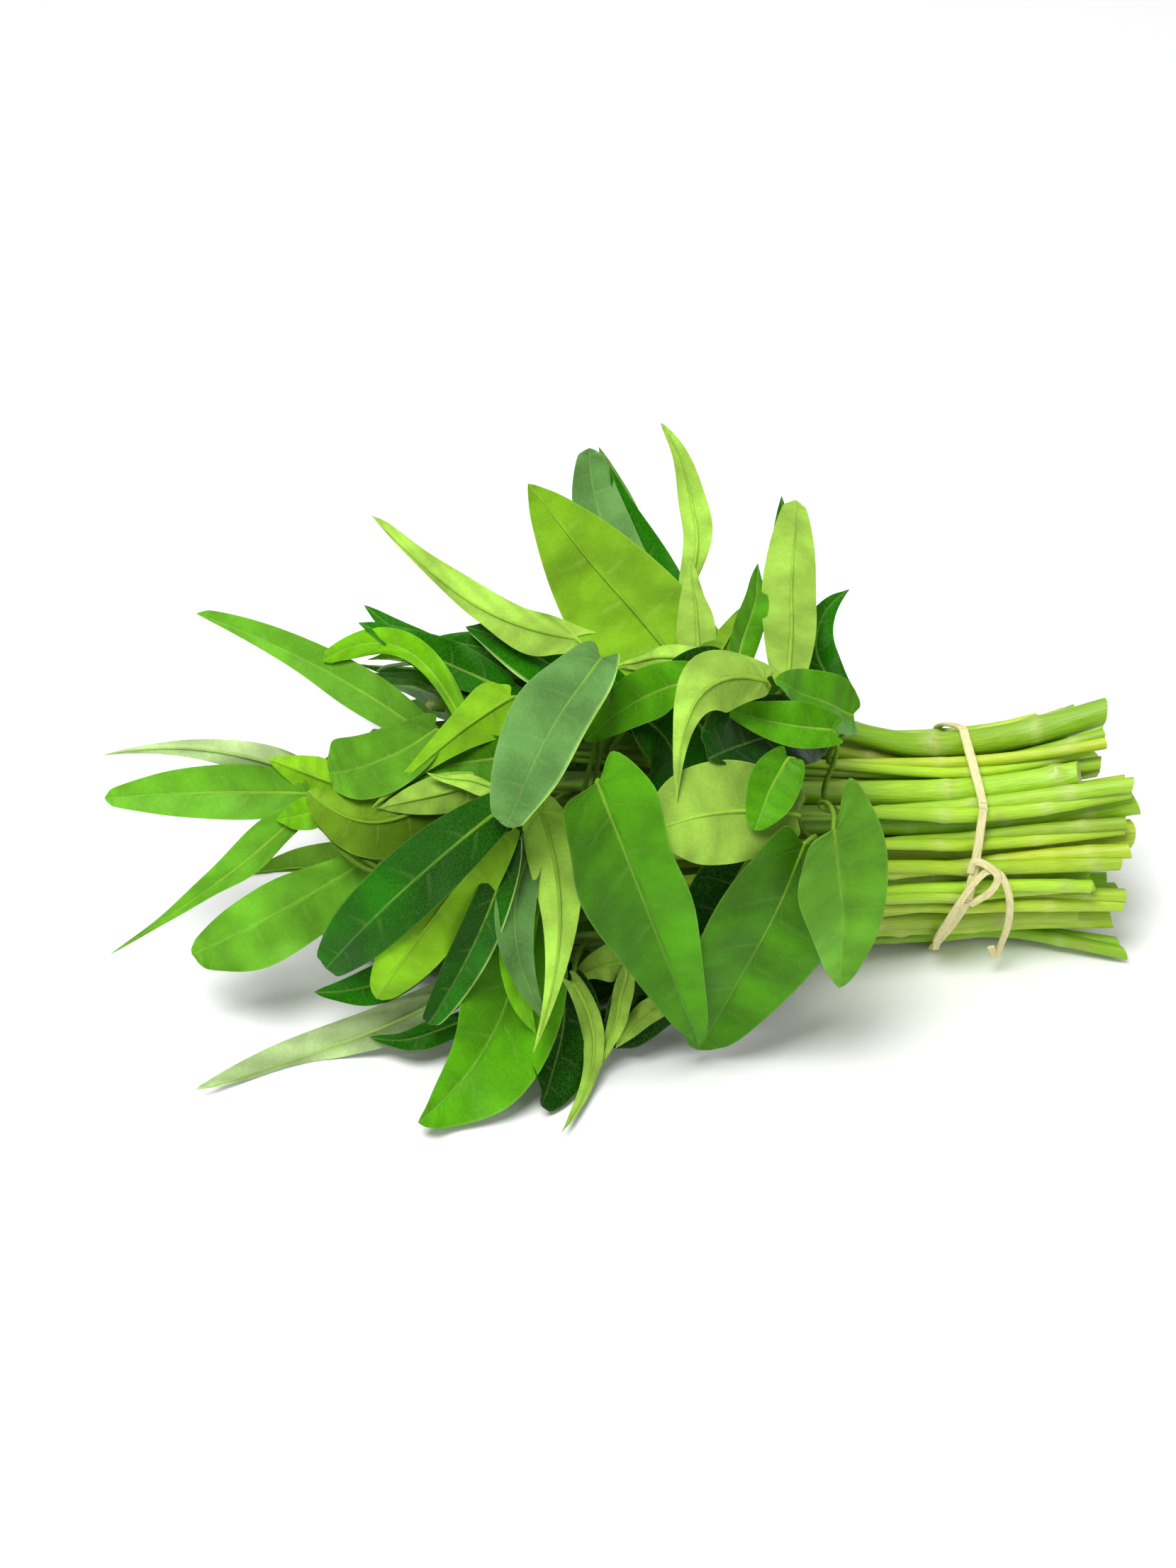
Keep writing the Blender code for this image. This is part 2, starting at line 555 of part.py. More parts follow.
def shoot_spec(shapes, number, push):
    """The youngest leaf of a stem, drawn out past its shoot tip."""
    draw = random.Random(SEED * 77 + number)
    shape = shapes[number]
    tip_x = shape["tip"]
    end, before = stem_centre(shape, tip_x), stem_centre(shape, tip_x + 12 * MM)
    growth = (end - before).normalized()
    outward = Vector((0, end.y, end.z - axis(tip_x).z)).normalized()
    aside = growth.cross(outward)
    length = draw.uniform(34, 62) * MM
    ahead = (growth + outward * draw.uniform(0, 0.35) + aside * draw.uniform(-0.3, 0.3)).normalized()
    base = end + growth * (7 * MM + push)
    bend, tip = base + ahead * length * 0.5, base + ahead * length - Vector((0, 0, length * 0.1))
    for place in (base, bend, tip):
        place.z = max(place.z, FLOOR_CLEARANCE)
    side = draw.choice((TOP, TOP, UNDER))
    facing = (outward + aside * draw.uniform(-0.8, 0.8)).normalized() * side
    return {
        "name": f"shoot_{number}", "points": [base, bend, tip], "side": side, "facing": [facing, facing],
        "half_width": length * draw.uniform(0.12, 0.17), "fold": math.radians(draw.uniform(10, 30)),
        "forms": {1: LANCE, -1: LANCE}, "filler": True,
    }


# Placing: each leaf goes where it is clear of everything placed before it


class Clearance:
    """The shapes placed so far, and whether another one would touch them."""

    def __init__(self):
        self.placed = []
        self.seen = []

    def add(self, owner, shape, seen=False):
        tree = BVHTree.FromPolygons(*shape)
        self.placed.append((owner, tree, *self.box(shape[0])))
        if seen:
            self.seen.append(tree)

    def in_line(self, shape, nearer):
        """Whether a seen leaf stands nearer to the viewer than the shape, or further behind it."""
        for place in shape[0]:
            sight_line = (VIEWER - place).normalized() * (1 if nearer else -1)
            for tree in self.seen:
                if tree.ray_cast(place + sight_line * 0.2 * MM, sight_line)[0]:
                    return True
        return False

    @staticmethod
    def box(points):
        array = np.array([tuple(p) for p in points])
        return array.min(axis=0), array.max(axis=0)

    def blocked(self, shape, skip=None):
        low, high = self.box(shape[0])
        tree = None
        for owner, other, other_low, other_high in self.placed:
            if owner == skip or (low > other_high).any() or (high < other_low).any():
                continue
            tree = tree or BVHTree.FromPolygons(*shape)
            if tree.overlap(other):
                return True
        return False


def find_petiole(spec, shapes, space):
    """The nearest stem that a petiole can reach from this blade clear of everything, and its path."""
    base, blade = spec["points"][0], BVHTree.FromPolygons(*leaf_mesh(spec))
    tries = []
    for number, shape in enumerate(shapes):
        for behind in (26, 44, 12, 64, 86, 0):
            x = base.x + behind * MM
            if shape["tip"] + 2 * MM < x < TIE_X - 16 * MM:
                start = stem_centre(shape, x)
                tries.append(((base - start).length + abs(behind - 30) * 0.15 * MM, number, x))
    for _, number, x in sorted(tries)[:70]:
        shape = shapes[number]
        start = stem_centre(shape, x)
        growth = (stem_centre(shape, x - 4 * MM) - start).normalized()
        outward = (base - start).normalized()
        path = petiole(start, (growth + outward * 0.5).normalized(), spec)
        guard = tube(path, petiole_radii(len(path), BLADE_CLEARANCE), 4)
        stalk = tube(path[:-1], petiole_radii(len(path))[:-1], 4)
        through = blade.overlap(BVHTree.FromPolygons(*stalk))
        if not through and not space.blocked(guard, skip=("stem", number)):
            return number, path
    return None


def settle(make_spec, pushes, shapes, space):
    """Moves a leaf outwards until its blade and petiole are clear. Returns None if it never is."""
    for push in pushes:
        spec = make_spec(push)
        filler = "filler" in spec
        if filler and not in_outline(spec):
            continue
        shape = leaf_mesh(spec, BLADE_CLEARANCE)
        if space.blocked(shape) or space.in_line(shape, nearer=not filler):
            continue
        found = find_petiole(spec, shapes, space)
        if found:
            spec["stem"], spec["petiole"] = found
            space.add(("leaf", spec["name"]), leaf_mesh(spec), seen=not filler)
            return spec
    return None


def stem_mesh(shape):
    stations = stem_stations(shape)
    path = [stem_centre(shape, x) for x in stations]
    radii = [stem_radius(shape, x) for x in stations]
    return tube(path, radii, STEM_SIDES, point_end=True)


def lay_out():
    """The stems' shapes, and every leaf with its place and the stem that it grows from."""
    shapes, space = make_stem_shapes(), Clearance()
    for number, shape in enumerate(shapes):
        space.add(("stem", number), stem_mesh(shape))
    leaves = []
    for row in SEEN_LEAVES:
        leaves.append(settle(lambda push, r=row: seen_spec(r, push), SEEN_PUSHES, shapes, space))
    for group in (BACK_LEAVES, INNER_LEAVES):
        placed = 0
        for number in range(group.tries):
            if placed < group.count:
                pushes = [3 * MM * k for k in range(8)]
                spec = settle(lambda push, g=group, n=number: seeded_spec(g, n, push), pushes, shapes, space)
                placed += spec is not None
                leaves.append(spec)
    for number in range(0, STEMS, SHOOT_EVERY):
        pushes = [MM * k for k in range(4)]
        leaves.append(settle(lambda push, n=number: shoot_spec(shapes, n, push), pushes, shapes, space))
    leaves = [spec for spec in leaves if spec]
    return shapes, leaves


# Tie


def tie_path():
    """The strip's inner line round the stems at the tie, as (across, up) from the axis."""
    radii, centres = pack_stems()
    angles = np.arange(TIE_POINTS) * math.tau / TIE_POINTS - math.pi / 2
    normals = np.stack([np.cos(angles), np.sin(angles)], axis=1)
    reach = (centres @ normals.T + radii[:, None]).max(axis=0) + TIE_GAP
    corners = []
    for k in range(TIE_POINTS):
        pair = [k, (k + 1) % TIE_POINTS]
        corners.append(np.linalg.solve(normals[pair], reach[pair]))
    return np.array(corners)


def tie_normals(path):
    ahead = np.roll(path, -1, axis=0) - np.roll(path, 1, axis=0)
    ahead /= np.linalg.norm(ahead, axis=1)[:, None]
    return np.stack([ahead[:, 1], -ahead[:, 0]], axis=1)


def tie_x(across, up):
    """The strip bows towards the cut ends on the side that faces the view."""
    facing = (across * BACK.y + up * BACK.z) / BUNDLE_HALF_WIDTH
    lean = TIE_LEAN * (across * UP.y + up * UP.z)
    return TIE_X + lean + TIE_SWAY * max(0.0, facing) ** 2


def tie_ring():
    """The closed band, as one mesh."""
    path = tie_path()
    normals = tie_normals(path)
    points, faces = [], []
    for (across, up), (normal_across, normal_up) in zip(path, normals):
        x = tie_x(across, up)
        for out in (0, TIE_THICKNESS):
            for side in (-1, 1):
                points.append(Vector((
                    x + side * TIE_WIDTH / 2, across + normal_across * out, AXIS_HEIGHT + up + normal_up * out
                )))
    count = len(path)
    # Corners of the strip's section, in order round it
    order = (0, 1, 3, 2)
    for k in range(count):
        here, there = 4 * k, 4 * ((k + 1) % count)
        for corner in range(4):
            a, b = order[corner], order[(corner + 1) % 4]
            faces += [(here + a, here + b, there + b), (here + a, there + b, there + a)]
    return points, faces


def on_bundle(degrees, x, height):
    """A point over the bundle's skin: degrees from the top towards the front, x from the tie."""
    angle = math.radians(degrees)
    ray = np.array([-math.sin(angle), math.cos(angle)])
    path = tie_path()
    reach = (path @ ray).max()
    wide, high, low = fan(TIE_X + x)
    out = Vector((0, ray[0], ray[1]))
    return axis(TIE_X) + Vector((x, 0, 0)) + out * (reach * min(wide, 1.03) + height)


def strip(path, outwards, width, thickness):
    """A flat strip along a path, with its broad face turned outwards."""
    points, faces = [], []
    for k, centre in enumerate(path):
        ahead = (path[min(k + 1, len(path) - 1)] - path[max(k - 1, 0)]).normalized()
        normal = (outwards[k] - ahead * outwards[k].dot(ahead)).normalized()
        across = ahead.cross(normal)
        for a, b in ((-1, -1), (1, -1), (1, 1), (-1, 1)):
            points.append(centre + across * (a * width / 2) + normal * (b * thickness / 2))
    for k in range(len(path) - 1):
        for corner in range(4):
            a, b = 4 * k + corner, 4 * k + (corner + 1) % 4
            faces += [(a, b, b + 4), (a, b + 4, a + 4)]
    last = 4 * (len(path) - 1)
    faces += [(0, 2, 1), (0, 3, 2), (last, last + 1, last + 2), (last, last + 2, last + 3)]
    return points, faces


# The free end: (degrees from the top, mm from the tie, mm over the skin)
TAIL = (
    (132, -1, 1.8), (118, -3, 2.4), (100, -4.5, 2.6), (84, -3.5, 2.8), (74, 0, 3.0), (69, 4, 3.2),
    (72, 9, 3.2), (84, 14, 3.4), (102, 18, 4.2), (120, 20, 6.0), (127, 19, 8.0), (118, 15.5, 7.6),
)
# The turn that the free end takes round the band
HITCH = ((88, 1.5, 1.0), (80, 6.5, 2.6), (72, 7.5, 4.0), (66, 3, 4.4), (64, -1.5, 2.6), (70, -2, 1.2))


def smooth_line(knots, per_span=3):
    """Points on a Catmull-Rom curve through the knots."""
    knots = [Vector(k) for k in knots]
    padded = [knots[0] * 2 - knots[1]] + knots + [knots[-1] * 2 - knots[-2]]
    made = []
    for k in range(1, len(padded) - 2):
        a, b, c, d = padded[k - 1:k + 3]
        for step in range(per_span):
            t = step / per_span
            made.append(0.5 * (2 * b + (c - a) * t + (2 * a - 5 * b + 4 * c - d) * t**2 + (3 * b - a - 3 * c + d) * t**3))
    return made + [knots[-1]]


def tie_strands():
    made = []
    for knots, per_span in ((TAIL, 2), (HITCH, 2)):
        line = smooth_line([on_bundle(d, x * MM + tie_x_at(d) - TIE_X, h * MM) for d, x, h in knots], per_span)
        middle = axis(TIE_X)
        outwards = [Vector((0, p.y - middle.y, p.z - middle.z)) for p in line]
        made.append(strip(line, outwards, TIE_WIDTH * 0.8, TIE_THICKNESS))
    return made


def tie_x_at(degrees):
    angle = math.radians(degrees)
    return tie_x(-math.sin(angle) * BUNDLE_HALF_WIDTH, math.cos(angle) * BUNDLE_HALF_WIDTH)


# Objects


def material(name, colour, roughness):
    made = bpy.data.materials.new(name)
    made.use_nodes = True
    shader = made.node_tree.nodes["Principled BSDF"]
    shader.inputs["Base Color"].default_value = (*colour, 1)
    shader.inputs["Roughness"].default_value = roughness
    shader.inputs["Metallic"].default_value = 0
    return made


def new_object(name, shape, collection):
    mesh = bpy.data.meshes.new(name)
    mesh.from_pydata([tuple(p) for p in shape[0]], [], shape[1])
    work = bmesh.new()
    work.from_mesh(mesh)
    bmesh.ops.recalc_face_normals(work, faces=work.faces)
    work.to_mesh(mesh)
    work.free()
    made = bpy.data.objects.new(name, mesh)
    collection.objects.link(made)
    return made


def fuse(made, shapes):
    """Joins the shapes to the object by one Boolean union on a collection of them."""
    if not shapes:
        return
    others = bpy.data.collections.new(made.name + "_growth")
    bpy.context.scene.collection.children.link(others)
    for number, shape in enumerate(shapes):
        new_object(f"{made.name}_growth_{number}", shape, others)
    union = made.modifiers.new("Growth", "BOOLEAN")
    union.operation, union.solver = "UNION", "MANIFOLD"
    union.operand_type, union.collection = "COLLECTION", others
    graph = bpy.context.evaluated_depsgraph_get()
    joined = bpy.data.meshes.new_from_object(made.evaluated_get(graph))
    made.modifiers.clear()
    made.data = joined
    for other in list(others.objects):
        bpy.data.objects.remove(other)
    bpy.data.collections.remove(others)


def main():
    for old in list(bpy.data.objects):
        bpy.data.objects.remove(old)
    green = material("water_spinach", (0.19, 0.42, 0.05), 0.45)
    straw = material("dry_strip", (0.72, 0.63, 0.36), 0.7)
    scene = bpy.context.scene.collection
    shapes, leaves = lay_out()
    made = []
    for number, shape in enumerate(shapes):
        stem = new_object(f"leafy_stem_{number + 1:02d}", stem_mesh(shape), scene)
        growth = []
        for spec in leaves:
            if spec["stem"] == number:
                growth.append(leaf_mesh(spec))
        fuse(stem, growth)
        stem.data.materials.append(green)
        made.append(stem)
    tie = new_object("tie", tie_ring(), scene)
    fuse(tie, tie_strands())
    tie.data.materials.append(straw)
    made.append(tie)
    corners = np.array([tuple(v.co) for o in made for v in o.data.vertices])
    low, high = corners.min(axis=0), corners.max(axis=0)
    home = Matrix.Translation((-(low[0] + high[0]) / 2, -(low[1] + high[1]) / 2, -low[2]))
    for piece in made:
        piece.data.transform(home)
        piece.data.shade_smooth()
        piece.data.set_sharp_from_angle(angle=math.radians(40))


main()
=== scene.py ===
"""Looks of the water spinach bunch: fine blades, stems and tie over the solids, light and camera.

The first half repeats the layout of part.py, in the same metres, so that each fine leaf lies
where its solid does. The second half builds the fine meshes, the materials and the scene.
"""

import math
import random
from collections import namedtuple

import bmesh
import bpy
import numpy as np
from mathutils import Matrix, Vector
from mathutils.bvhtree import BVHTree


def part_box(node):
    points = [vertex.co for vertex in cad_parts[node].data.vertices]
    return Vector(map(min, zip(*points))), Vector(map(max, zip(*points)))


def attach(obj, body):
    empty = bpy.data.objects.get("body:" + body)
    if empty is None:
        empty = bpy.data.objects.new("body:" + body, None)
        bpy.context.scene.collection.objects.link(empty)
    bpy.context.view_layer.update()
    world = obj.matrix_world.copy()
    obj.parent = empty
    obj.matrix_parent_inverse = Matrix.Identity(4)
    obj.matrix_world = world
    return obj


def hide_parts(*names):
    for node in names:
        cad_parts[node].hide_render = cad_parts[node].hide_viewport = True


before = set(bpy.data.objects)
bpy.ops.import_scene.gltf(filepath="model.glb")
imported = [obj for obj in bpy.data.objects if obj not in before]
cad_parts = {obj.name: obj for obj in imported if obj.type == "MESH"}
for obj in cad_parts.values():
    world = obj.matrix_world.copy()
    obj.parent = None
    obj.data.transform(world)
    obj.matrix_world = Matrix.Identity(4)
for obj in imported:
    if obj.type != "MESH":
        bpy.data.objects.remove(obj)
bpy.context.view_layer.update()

MM = 0.001

# Stems, where the tie holds them
STEMS = 57
STEM_RADIUS = (3.6 * MM, 4.8 * MM)
STEM_GAP = 0.9 * MM
BUNDLE_HALF_WIDTH = 40 * MM
BUNDLE_HALF_HEIGHT = 35 * MM
BUNDLE_DROP = 35 * MM
TOP_STEM_RISE = 13 * MM
PACK_STEPS = 1500
STEM_SIDES = 6

# Places along the bunch
TIE_X = 128 * MM
CUT_END_X = (168 * MM, 192 * MM)
SHOOT_TIP_X = (-80 * MM, 55 * MM)
CUT_REACH = 62 * MM
LEAF_REACH = 250 * MM

# Tie: a flat strip round the bundle
TIE_WIDTH = 3.3 * MM
TIE_THICKNESS = 1.2 * MM
STRAND_WIDTH = TIE_WIDTH * 0.8
TIE_GAP = 0.5 * MM
TIE_POINTS = 60
TIE_SWAY = 6 * MM
TIE_LEAN = 0.15
AXIS_HEIGHT = BUNDLE_DROP + TIE_GAP + TIE_THICKNESS

# Blades and petioles
BLADE_THICKNESS = 1.0 * MM
BLADE_CLEARANCE = 0.5 * MM
PETIOLE_RADIUS = 1.3 * MM
PETIOLE_STEPS = 3
# How far along its span a stalk keeps its first direction, and its last one
STALK_LEAD = 0.4
STALK_TRAIL = 0.35
FLOOR_CLEARANCE = 0.6 * MM
SHOOT_EVERY = 3
SEED = 7
# Leaves placed by rule: how many are tried and kept, and the ranges that seeded_spec() explains
Group = namedtuple("Group", "name seed tries count turns starts lengths leans")
INNER_LEAVES = Group("inner", 0, 200, 26, (-20, 150), (-60, 70), (34, 62), (5, 45))
BACK_LEAVES = Group("back", 500, 260, 52, (165, 370), (-90, 75), (66, 100), (10, 60))

# The reference view: a photograph of this many pixels, with this scale at the bunch's middle
PHOTO_WIDTH, PHOTO_HEIGHT = 1659, 2212
PIXEL = 0.25 * MM
VIEW_AZIMUTH = math.radians(-8)
VIEW_ELEVATION = math.radians(40)
VIEW_DISTANCE = 1.2
AXIS_BELOW_CENTRE = 19 * MM

# The view's own axes, in world directions
RIGHT = Vector((math.cos(VIEW_AZIMUTH), math.sin(VIEW_AZIMUTH), 0))
BACK = Vector((
    math.sin(VIEW_AZIMUTH) * math.cos(VIEW_ELEVATION),
    -math.cos(VIEW_AZIMUTH) * math.cos(VIEW_ELEVATION),
    math.sin(VIEW_ELEVATION),
))
UP = BACK.cross(RIGHT)

TOP, UNDER = 1, -1
# Blade outlines: (share of the length, share of the half width) from a lobe's end to the tip
ARROW = ((-0.2, 0.6), (0.0, 0.96), (0.25, 1.0), (0.54, 0.78), (0.82, 0.38))
LANCE = ((-0.1, 0.5), (0.08, 0.84), (0.32, 1.0), (0.6, 0.76), (0.86, 0.34))
OVAL = ((-0.06, 0.46), (0.14, 0.86), (0.38, 1.0), (0.64, 0.86), (0.88, 0.48))
BLUNT = ((-0.04, 0.42), (0.14, 0.8), (0.42, 1.0), (0.72, 0.9), (0.94, 0.52))
DROP = ((-0.04, 0.5), (0.06, 0.88), (0.24, 1.0), (0.52, 0.62), (0.8, 0.24))
ROUND = ((-0.05, 0.45), (0.12, 0.84), (0.34, 1.0), (0.66, 0.82), (0.93, 0.4))
SHEER = ((0.0, 0.66), (0.14, 0.86), (0.33, 1.0), (0.58, 0.74), (0.84, 0.38))
WAVED = ((-0.08, 0.42), (0.05, 0.8), (0.27, 0.7), (0.5, 0.74), (0.82, 0.42))
HOOKED = ((-0.26, 0.45), (-0.08, 0.82), (0.2, 1.0), (0.54, 0.82), (0.84, 0.42))
Leaf = namedtuple("Leaf", "name side base middle tip half_width form other roll fold")


def leaf(name, side, base, middle, tip, half_width, form=LANCE, other=None, roll=0, fold=14):
    """A leaf seen in the reference view: pixels of its base, middle and tip, and its half width in mm.

    side is the face that the view sees. form is the outline on the right hand of one who goes
    from base to tip, and other the outline on the left hand where that differs. roll turns the
    blade about its midrib, and fold is how far each half stands up from flat, both in degrees.
    """
    return Leaf(name, side, base, middle, tip, half_width * MM, form, other or form, roll, fold)


# Leaves that the reference view shows, from the furthest to the nearest
SEEN_LEAVES = (
    leaf("crown_behind", TOP, (1112, 955), (1106, 830), (1103, 698), 8),
    leaf("crown_shadow", UNDER, (940, 900), (895, 760), (842, 627), 7),
    leaf("crown_edge", TOP, (985, 900), (918, 770), (861, 658), 7),
    leaf("crown_grey", TOP, (945, 900), (860, 765), (832, 634), 10, BLUNT),
    leaf("crown_spear", UNDER, (970, 832), (972, 712), (930, 597), 6, DROP, BLUNT, roll=15),
    leaf("crown_large", UNDER, (945, 922), (838, 798), (744, 683), 22, ARROW),
    leaf("crown_cuff", UNDER, (986, 930), (981, 865), (972, 792), 7),
    leaf("ridge_low", UNDER, (1000, 945), (1025, 905), (1050, 858), 7),
    leaf("ridge_blade", TOP, (1035, 945), (1060, 865), (1075, 787), 6, roll=20),
    leaf("upright_pale", UNDER, (1112, 958), (1112, 833), (1121, 710), 10, BLUNT),
    leaf("shoulder_dark", TOP, (1190, 985), (1168, 900), (1199, 830), 7),
    leaf("rear_flat", TOP, (780, 935), (690, 915), (604, 903), 7),
    leaf("rear_spread", TOP, (740, 1010), (625, 925), (513, 853), 9),
    leaf("rear_narrow", TOP, (700, 968), (600, 915), (506, 880), 8),
    leaf("rear_hook", TOP, (652, 1020), (567, 924), (455, 932), 6, BLUNT),
    leaf("rear_mid", TOP, (880, 990), (800, 940), (738, 905), 9),
    leaf("rear_fan", TOP, (840, 975), (745, 920), (655, 882), 11),
    leaf("rear_pale", UNDER, (812, 900), (668, 850), (528, 731), 8, OVAL, DROP),
    leaf("far_sabre", TOP, (605, 1040), (452, 946), (278, 866), 8, ROUND),
    leaf("end_white", UNDER, (442, 1098), (290, 1066), (144, 1066), 6, DROP),
    leaf("end_broad", TOP, (436, 1120), (290, 1118), (148, 1126), 10, ROUND),
    leaf("end_hanging", TOP, (422, 1150), (276, 1246), (153, 1347), 7, DROP, roll=15),
    leaf("end_wavy", TOP, (545, 1195), (413, 1275), (268, 1349), 12, OVAL, SHEER),
    leaf("low_silver", UNDER, (640, 1400), (458, 1468), (269, 1532), 8, OVAL, DROP),
    leaf("low_small", TOP, (660, 1435), (590, 1462), (520, 1464), 5),
    leaf("low_dark", TOP, (590, 1362), (515, 1392), (442, 1400), 7),
    leaf("young_upper", UNDER, (470, 1104), (425, 1088), (378, 1071), 7),
    leaf("young_lower", TOP, (462, 1140), (425, 1150), (388, 1156), 6),
    leaf("curl_olive", UNDER, (612, 1128), (520, 1160), (436, 1116), 13, OVAL),
    leaf("mid_green", TOP, (718, 1070), (640, 1078), (576, 1098), 9),
    leaf("mid_pale", UNDER, (660, 1108), (600, 1125), (532, 1140), 7),
    leaf("mid_round", TOP, (615, 1030), (535, 1064), (462, 1086), 13, BLUNT),
    leaf("mid_bright", UNDER, (722, 984), (648, 1034), (522, 1141), 10, DROP),
    leaf("mid_rolled", UNDER, (706, 1112), (655, 1102), (602, 1093), 4, roll=40),
    leaf("heart_rim", UNDER, (982, 925), (925, 930), (872, 940), 5),
    leaf("heart_top", TOP, (1020, 955), (975, 945), (925, 970), 8),
    leaf("heart_deep", TOP, (1148, 1035), (1072, 1055), (1000, 1105), 13, OVAL),
    leaf("core_deep", TOP, (1060, 1205), (1010, 1285), (965, 1370), 14, OVAL),
    leaf("heart_dark", TOP, (900, 1010), (955, 1080), (925, 1185), 12, OVAL),
    leaf("heart_green", TOP, (990, 962), (905, 985), (824, 1047), 9, OVAL),
    leaf("heart_pale", UNDER, (1125, 1150), (1020, 1146), (926, 1172), 17, BLUNT, fold=6),
    leaf("front_shadow", TOP, (945, 1365), (905, 1420), (862, 1478), 13, OVAL),
    leaf("front_tongue", UNDER, (946, 1412), (905, 1440), (868, 1476), 5),
    leaf("front_sprig", UNDER, (890, 1362), (850, 1362), (806, 1387), 7),
    leaf("front_ribbon", UNDER, (884, 1375), (868, 1440), (848, 1506), 4, roll=30),
    leaf("skirt_shade", TOP, (752, 1185), (738, 1290), (705, 1400), 12, OVAL),
    leaf("skirt_fold", TOP, (792, 1380), (806, 1470), (772, 1570), 13, OVAL, BLUNT, roll=-15),
    leaf("skirt_pale", UNDER, (808, 1385), (856, 1488), (793, 1597), 4),
    leaf("skirt_large", TOP, (735, 1262), (724, 1450), (592, 1598), 17, SHEER, BLUNT),
    leaf("skirt_bright", TOP, (745, 1280), (728, 1370), (758, 1466), 6),
    leaf("skirt_blue", TOP, (748, 1200), (740, 1320), (772, 1444), 7),
    leaf("side_dark", TOP, (722, 1190), (672, 1325), (606, 1440), 7, BLUNT),
    leaf("side_bright", UNDER, (705, 1174), (615, 1290), (530, 1410), 12, BLUNT),
    leaf("side_long", TOP, (708, 1140), (566, 1258), (450, 1376), 12, BLUNT),
    leaf("front_hanging", UNDER, (762, 1142), (790, 1308), (752, 1480), 9, DROP),
    leaf("front_grey", TOP, (849, 928), (776, 1036), (716, 1168), 14, BLUNT, roll=18, fold=24),
    leaf("shoulder_shadow", TOP, (1112, 1070), (1084, 1120), (1064, 1172), 9, OVAL),
    leaf("shoulder_grey", TOP, (1202, 1010), (1148, 985), (1092, 958), 10, OVAL),
    leaf("shoulder_green", TOP, (1172, 1030), (1090, 1018), (1008, 992), 8),
    leaf("shoulder_curl", UNDER, (1080, 960), (985, 985), (955, 1132), 10, ROUND, DROP),
    leaf("front_cheek", TOP, (1120, 1050), (1138, 1112), (1156, 1186), 10, BLUNT),
    leaf("front_oval", TOP, (1135, 1190), (1064, 1345), (985, 1476), 22, OVAL),
    leaf("front_spear", TOP, (842, 1104), (913, 1285), (986, 1472), 21, SHEER, WAVED, fold=20),
    leaf("front_arrow", TOP, (1176, 1170), (1187, 1285), (1188, 1404), 16, SHEER, HOOKED),
    leaf("stray_small", TOP, (1238, 1316), (1256, 1312), (1276, 1314), 5),
)
# Places of a solid blade's points along its midrib, as shares of its length
MIDRIB = (0.0, 0.25, 0.52, 0.8)
# How far the base and the tip of a seen leaf are moved towards the viewer, in the order tried
SEEN_PUSHES = sorted(
    ((b * 3 * MM, t * 3 * MM) for b in range(-7, 25) for t in range(-7, 17)),
    key=lambda push: sum(push) + 0.25 * abs(push[0] - push[1]),
)
# How far a leaf of a seeded group, or the youngest leaf of a stem, is moved outwards
SEEDED_PUSHES = [3 * MM * k for k in range(8)]
SHOOT_PUSHES = [MM * k for k in range(4)]
# The leafy part's outline in the reference view, in pixels: no filler leaf shows beyond it
LEAFY_OUTLINE = (
    (1325, 1032), (1203, 989), (1198, 838), (1152, 896), (1149, 726), (1105, 706), (1071, 925),
    (1074, 792), (1017, 906), (949, 800), (861, 662), (842, 630), (746, 685), (778, 852),
    (527, 728), (676, 887), (517, 853), (520, 896), (457, 930), (617, 1013), (284, 866),
    (491, 1018), (461, 1067), (374, 1052), (149, 1065), (151, 1125), (364, 1157), (432, 1169),
    (154, 1345), (486, 1194), (271, 1348), (422, 1348), (520, 1406), (274, 1533), (598, 1442),
    (637, 1472), (588, 1595), (754, 1476), (761, 1554), (793, 1593), (853, 1476), (949, 1442),
    (988, 1476), (1154, 1379), (1188, 1400), (1230, 1345), (1330, 1330),
)
# Triangles of one half of one face: m is a midrib place, e an outline place, and m4 is the tip
HALF_BLADE = (
    ("m0", "e0", "e1"), ("m0", "e1", "e2"), ("m0", "e2", "m1"), ("m1", "e2", "e3"),
    ("m1", "e3", "m2"), ("m2", "e3", "e4"), ("m2", "e4", "m3"), ("m3", "e4", "m4"),
)


def clamp(value, low, high):
    return max(low, min(high, value))


# Bunch axis and stems


def axis(x):
    """The bunch's middle line: level through the tie, and propped up by its leaves beyond."""
    rise = clamp((TIE_X - x) / LEAF_REACH, 0, 1.2)
    return Vector((x, 0, AXIS_HEIGHT + 26 * MM * rise))


VIEW_ORIGIN = axis(0) + UP * AXIS_BELOW_CENTRE
VIEWER = VIEW_ORIGIN + BACK * VIEW_DISTANCE


def past_tie(x):
    """How far x is on the way from the tie's end side to the cut ends."""
    return max(0.0, (x - TIE_X - 10 * MM) / CUT_REACH)


def fan(x):
    """How much wider than at the tie the stems stand at x: sideways, upwards and downwards."""
    if x > TIE_X:
        out = past_tie(x) ** 1.6
        return 1 + 0.24 * out, 1 + 0.34 * out, 1 + 0.04 * out
    out = max(0.0, (TIE_X - 12 * MM - x) / LEAF_REACH) ** 1.2
    return 1 + 0.85 * out, 1 + 0.55 * out, 1 + 0.42 * out


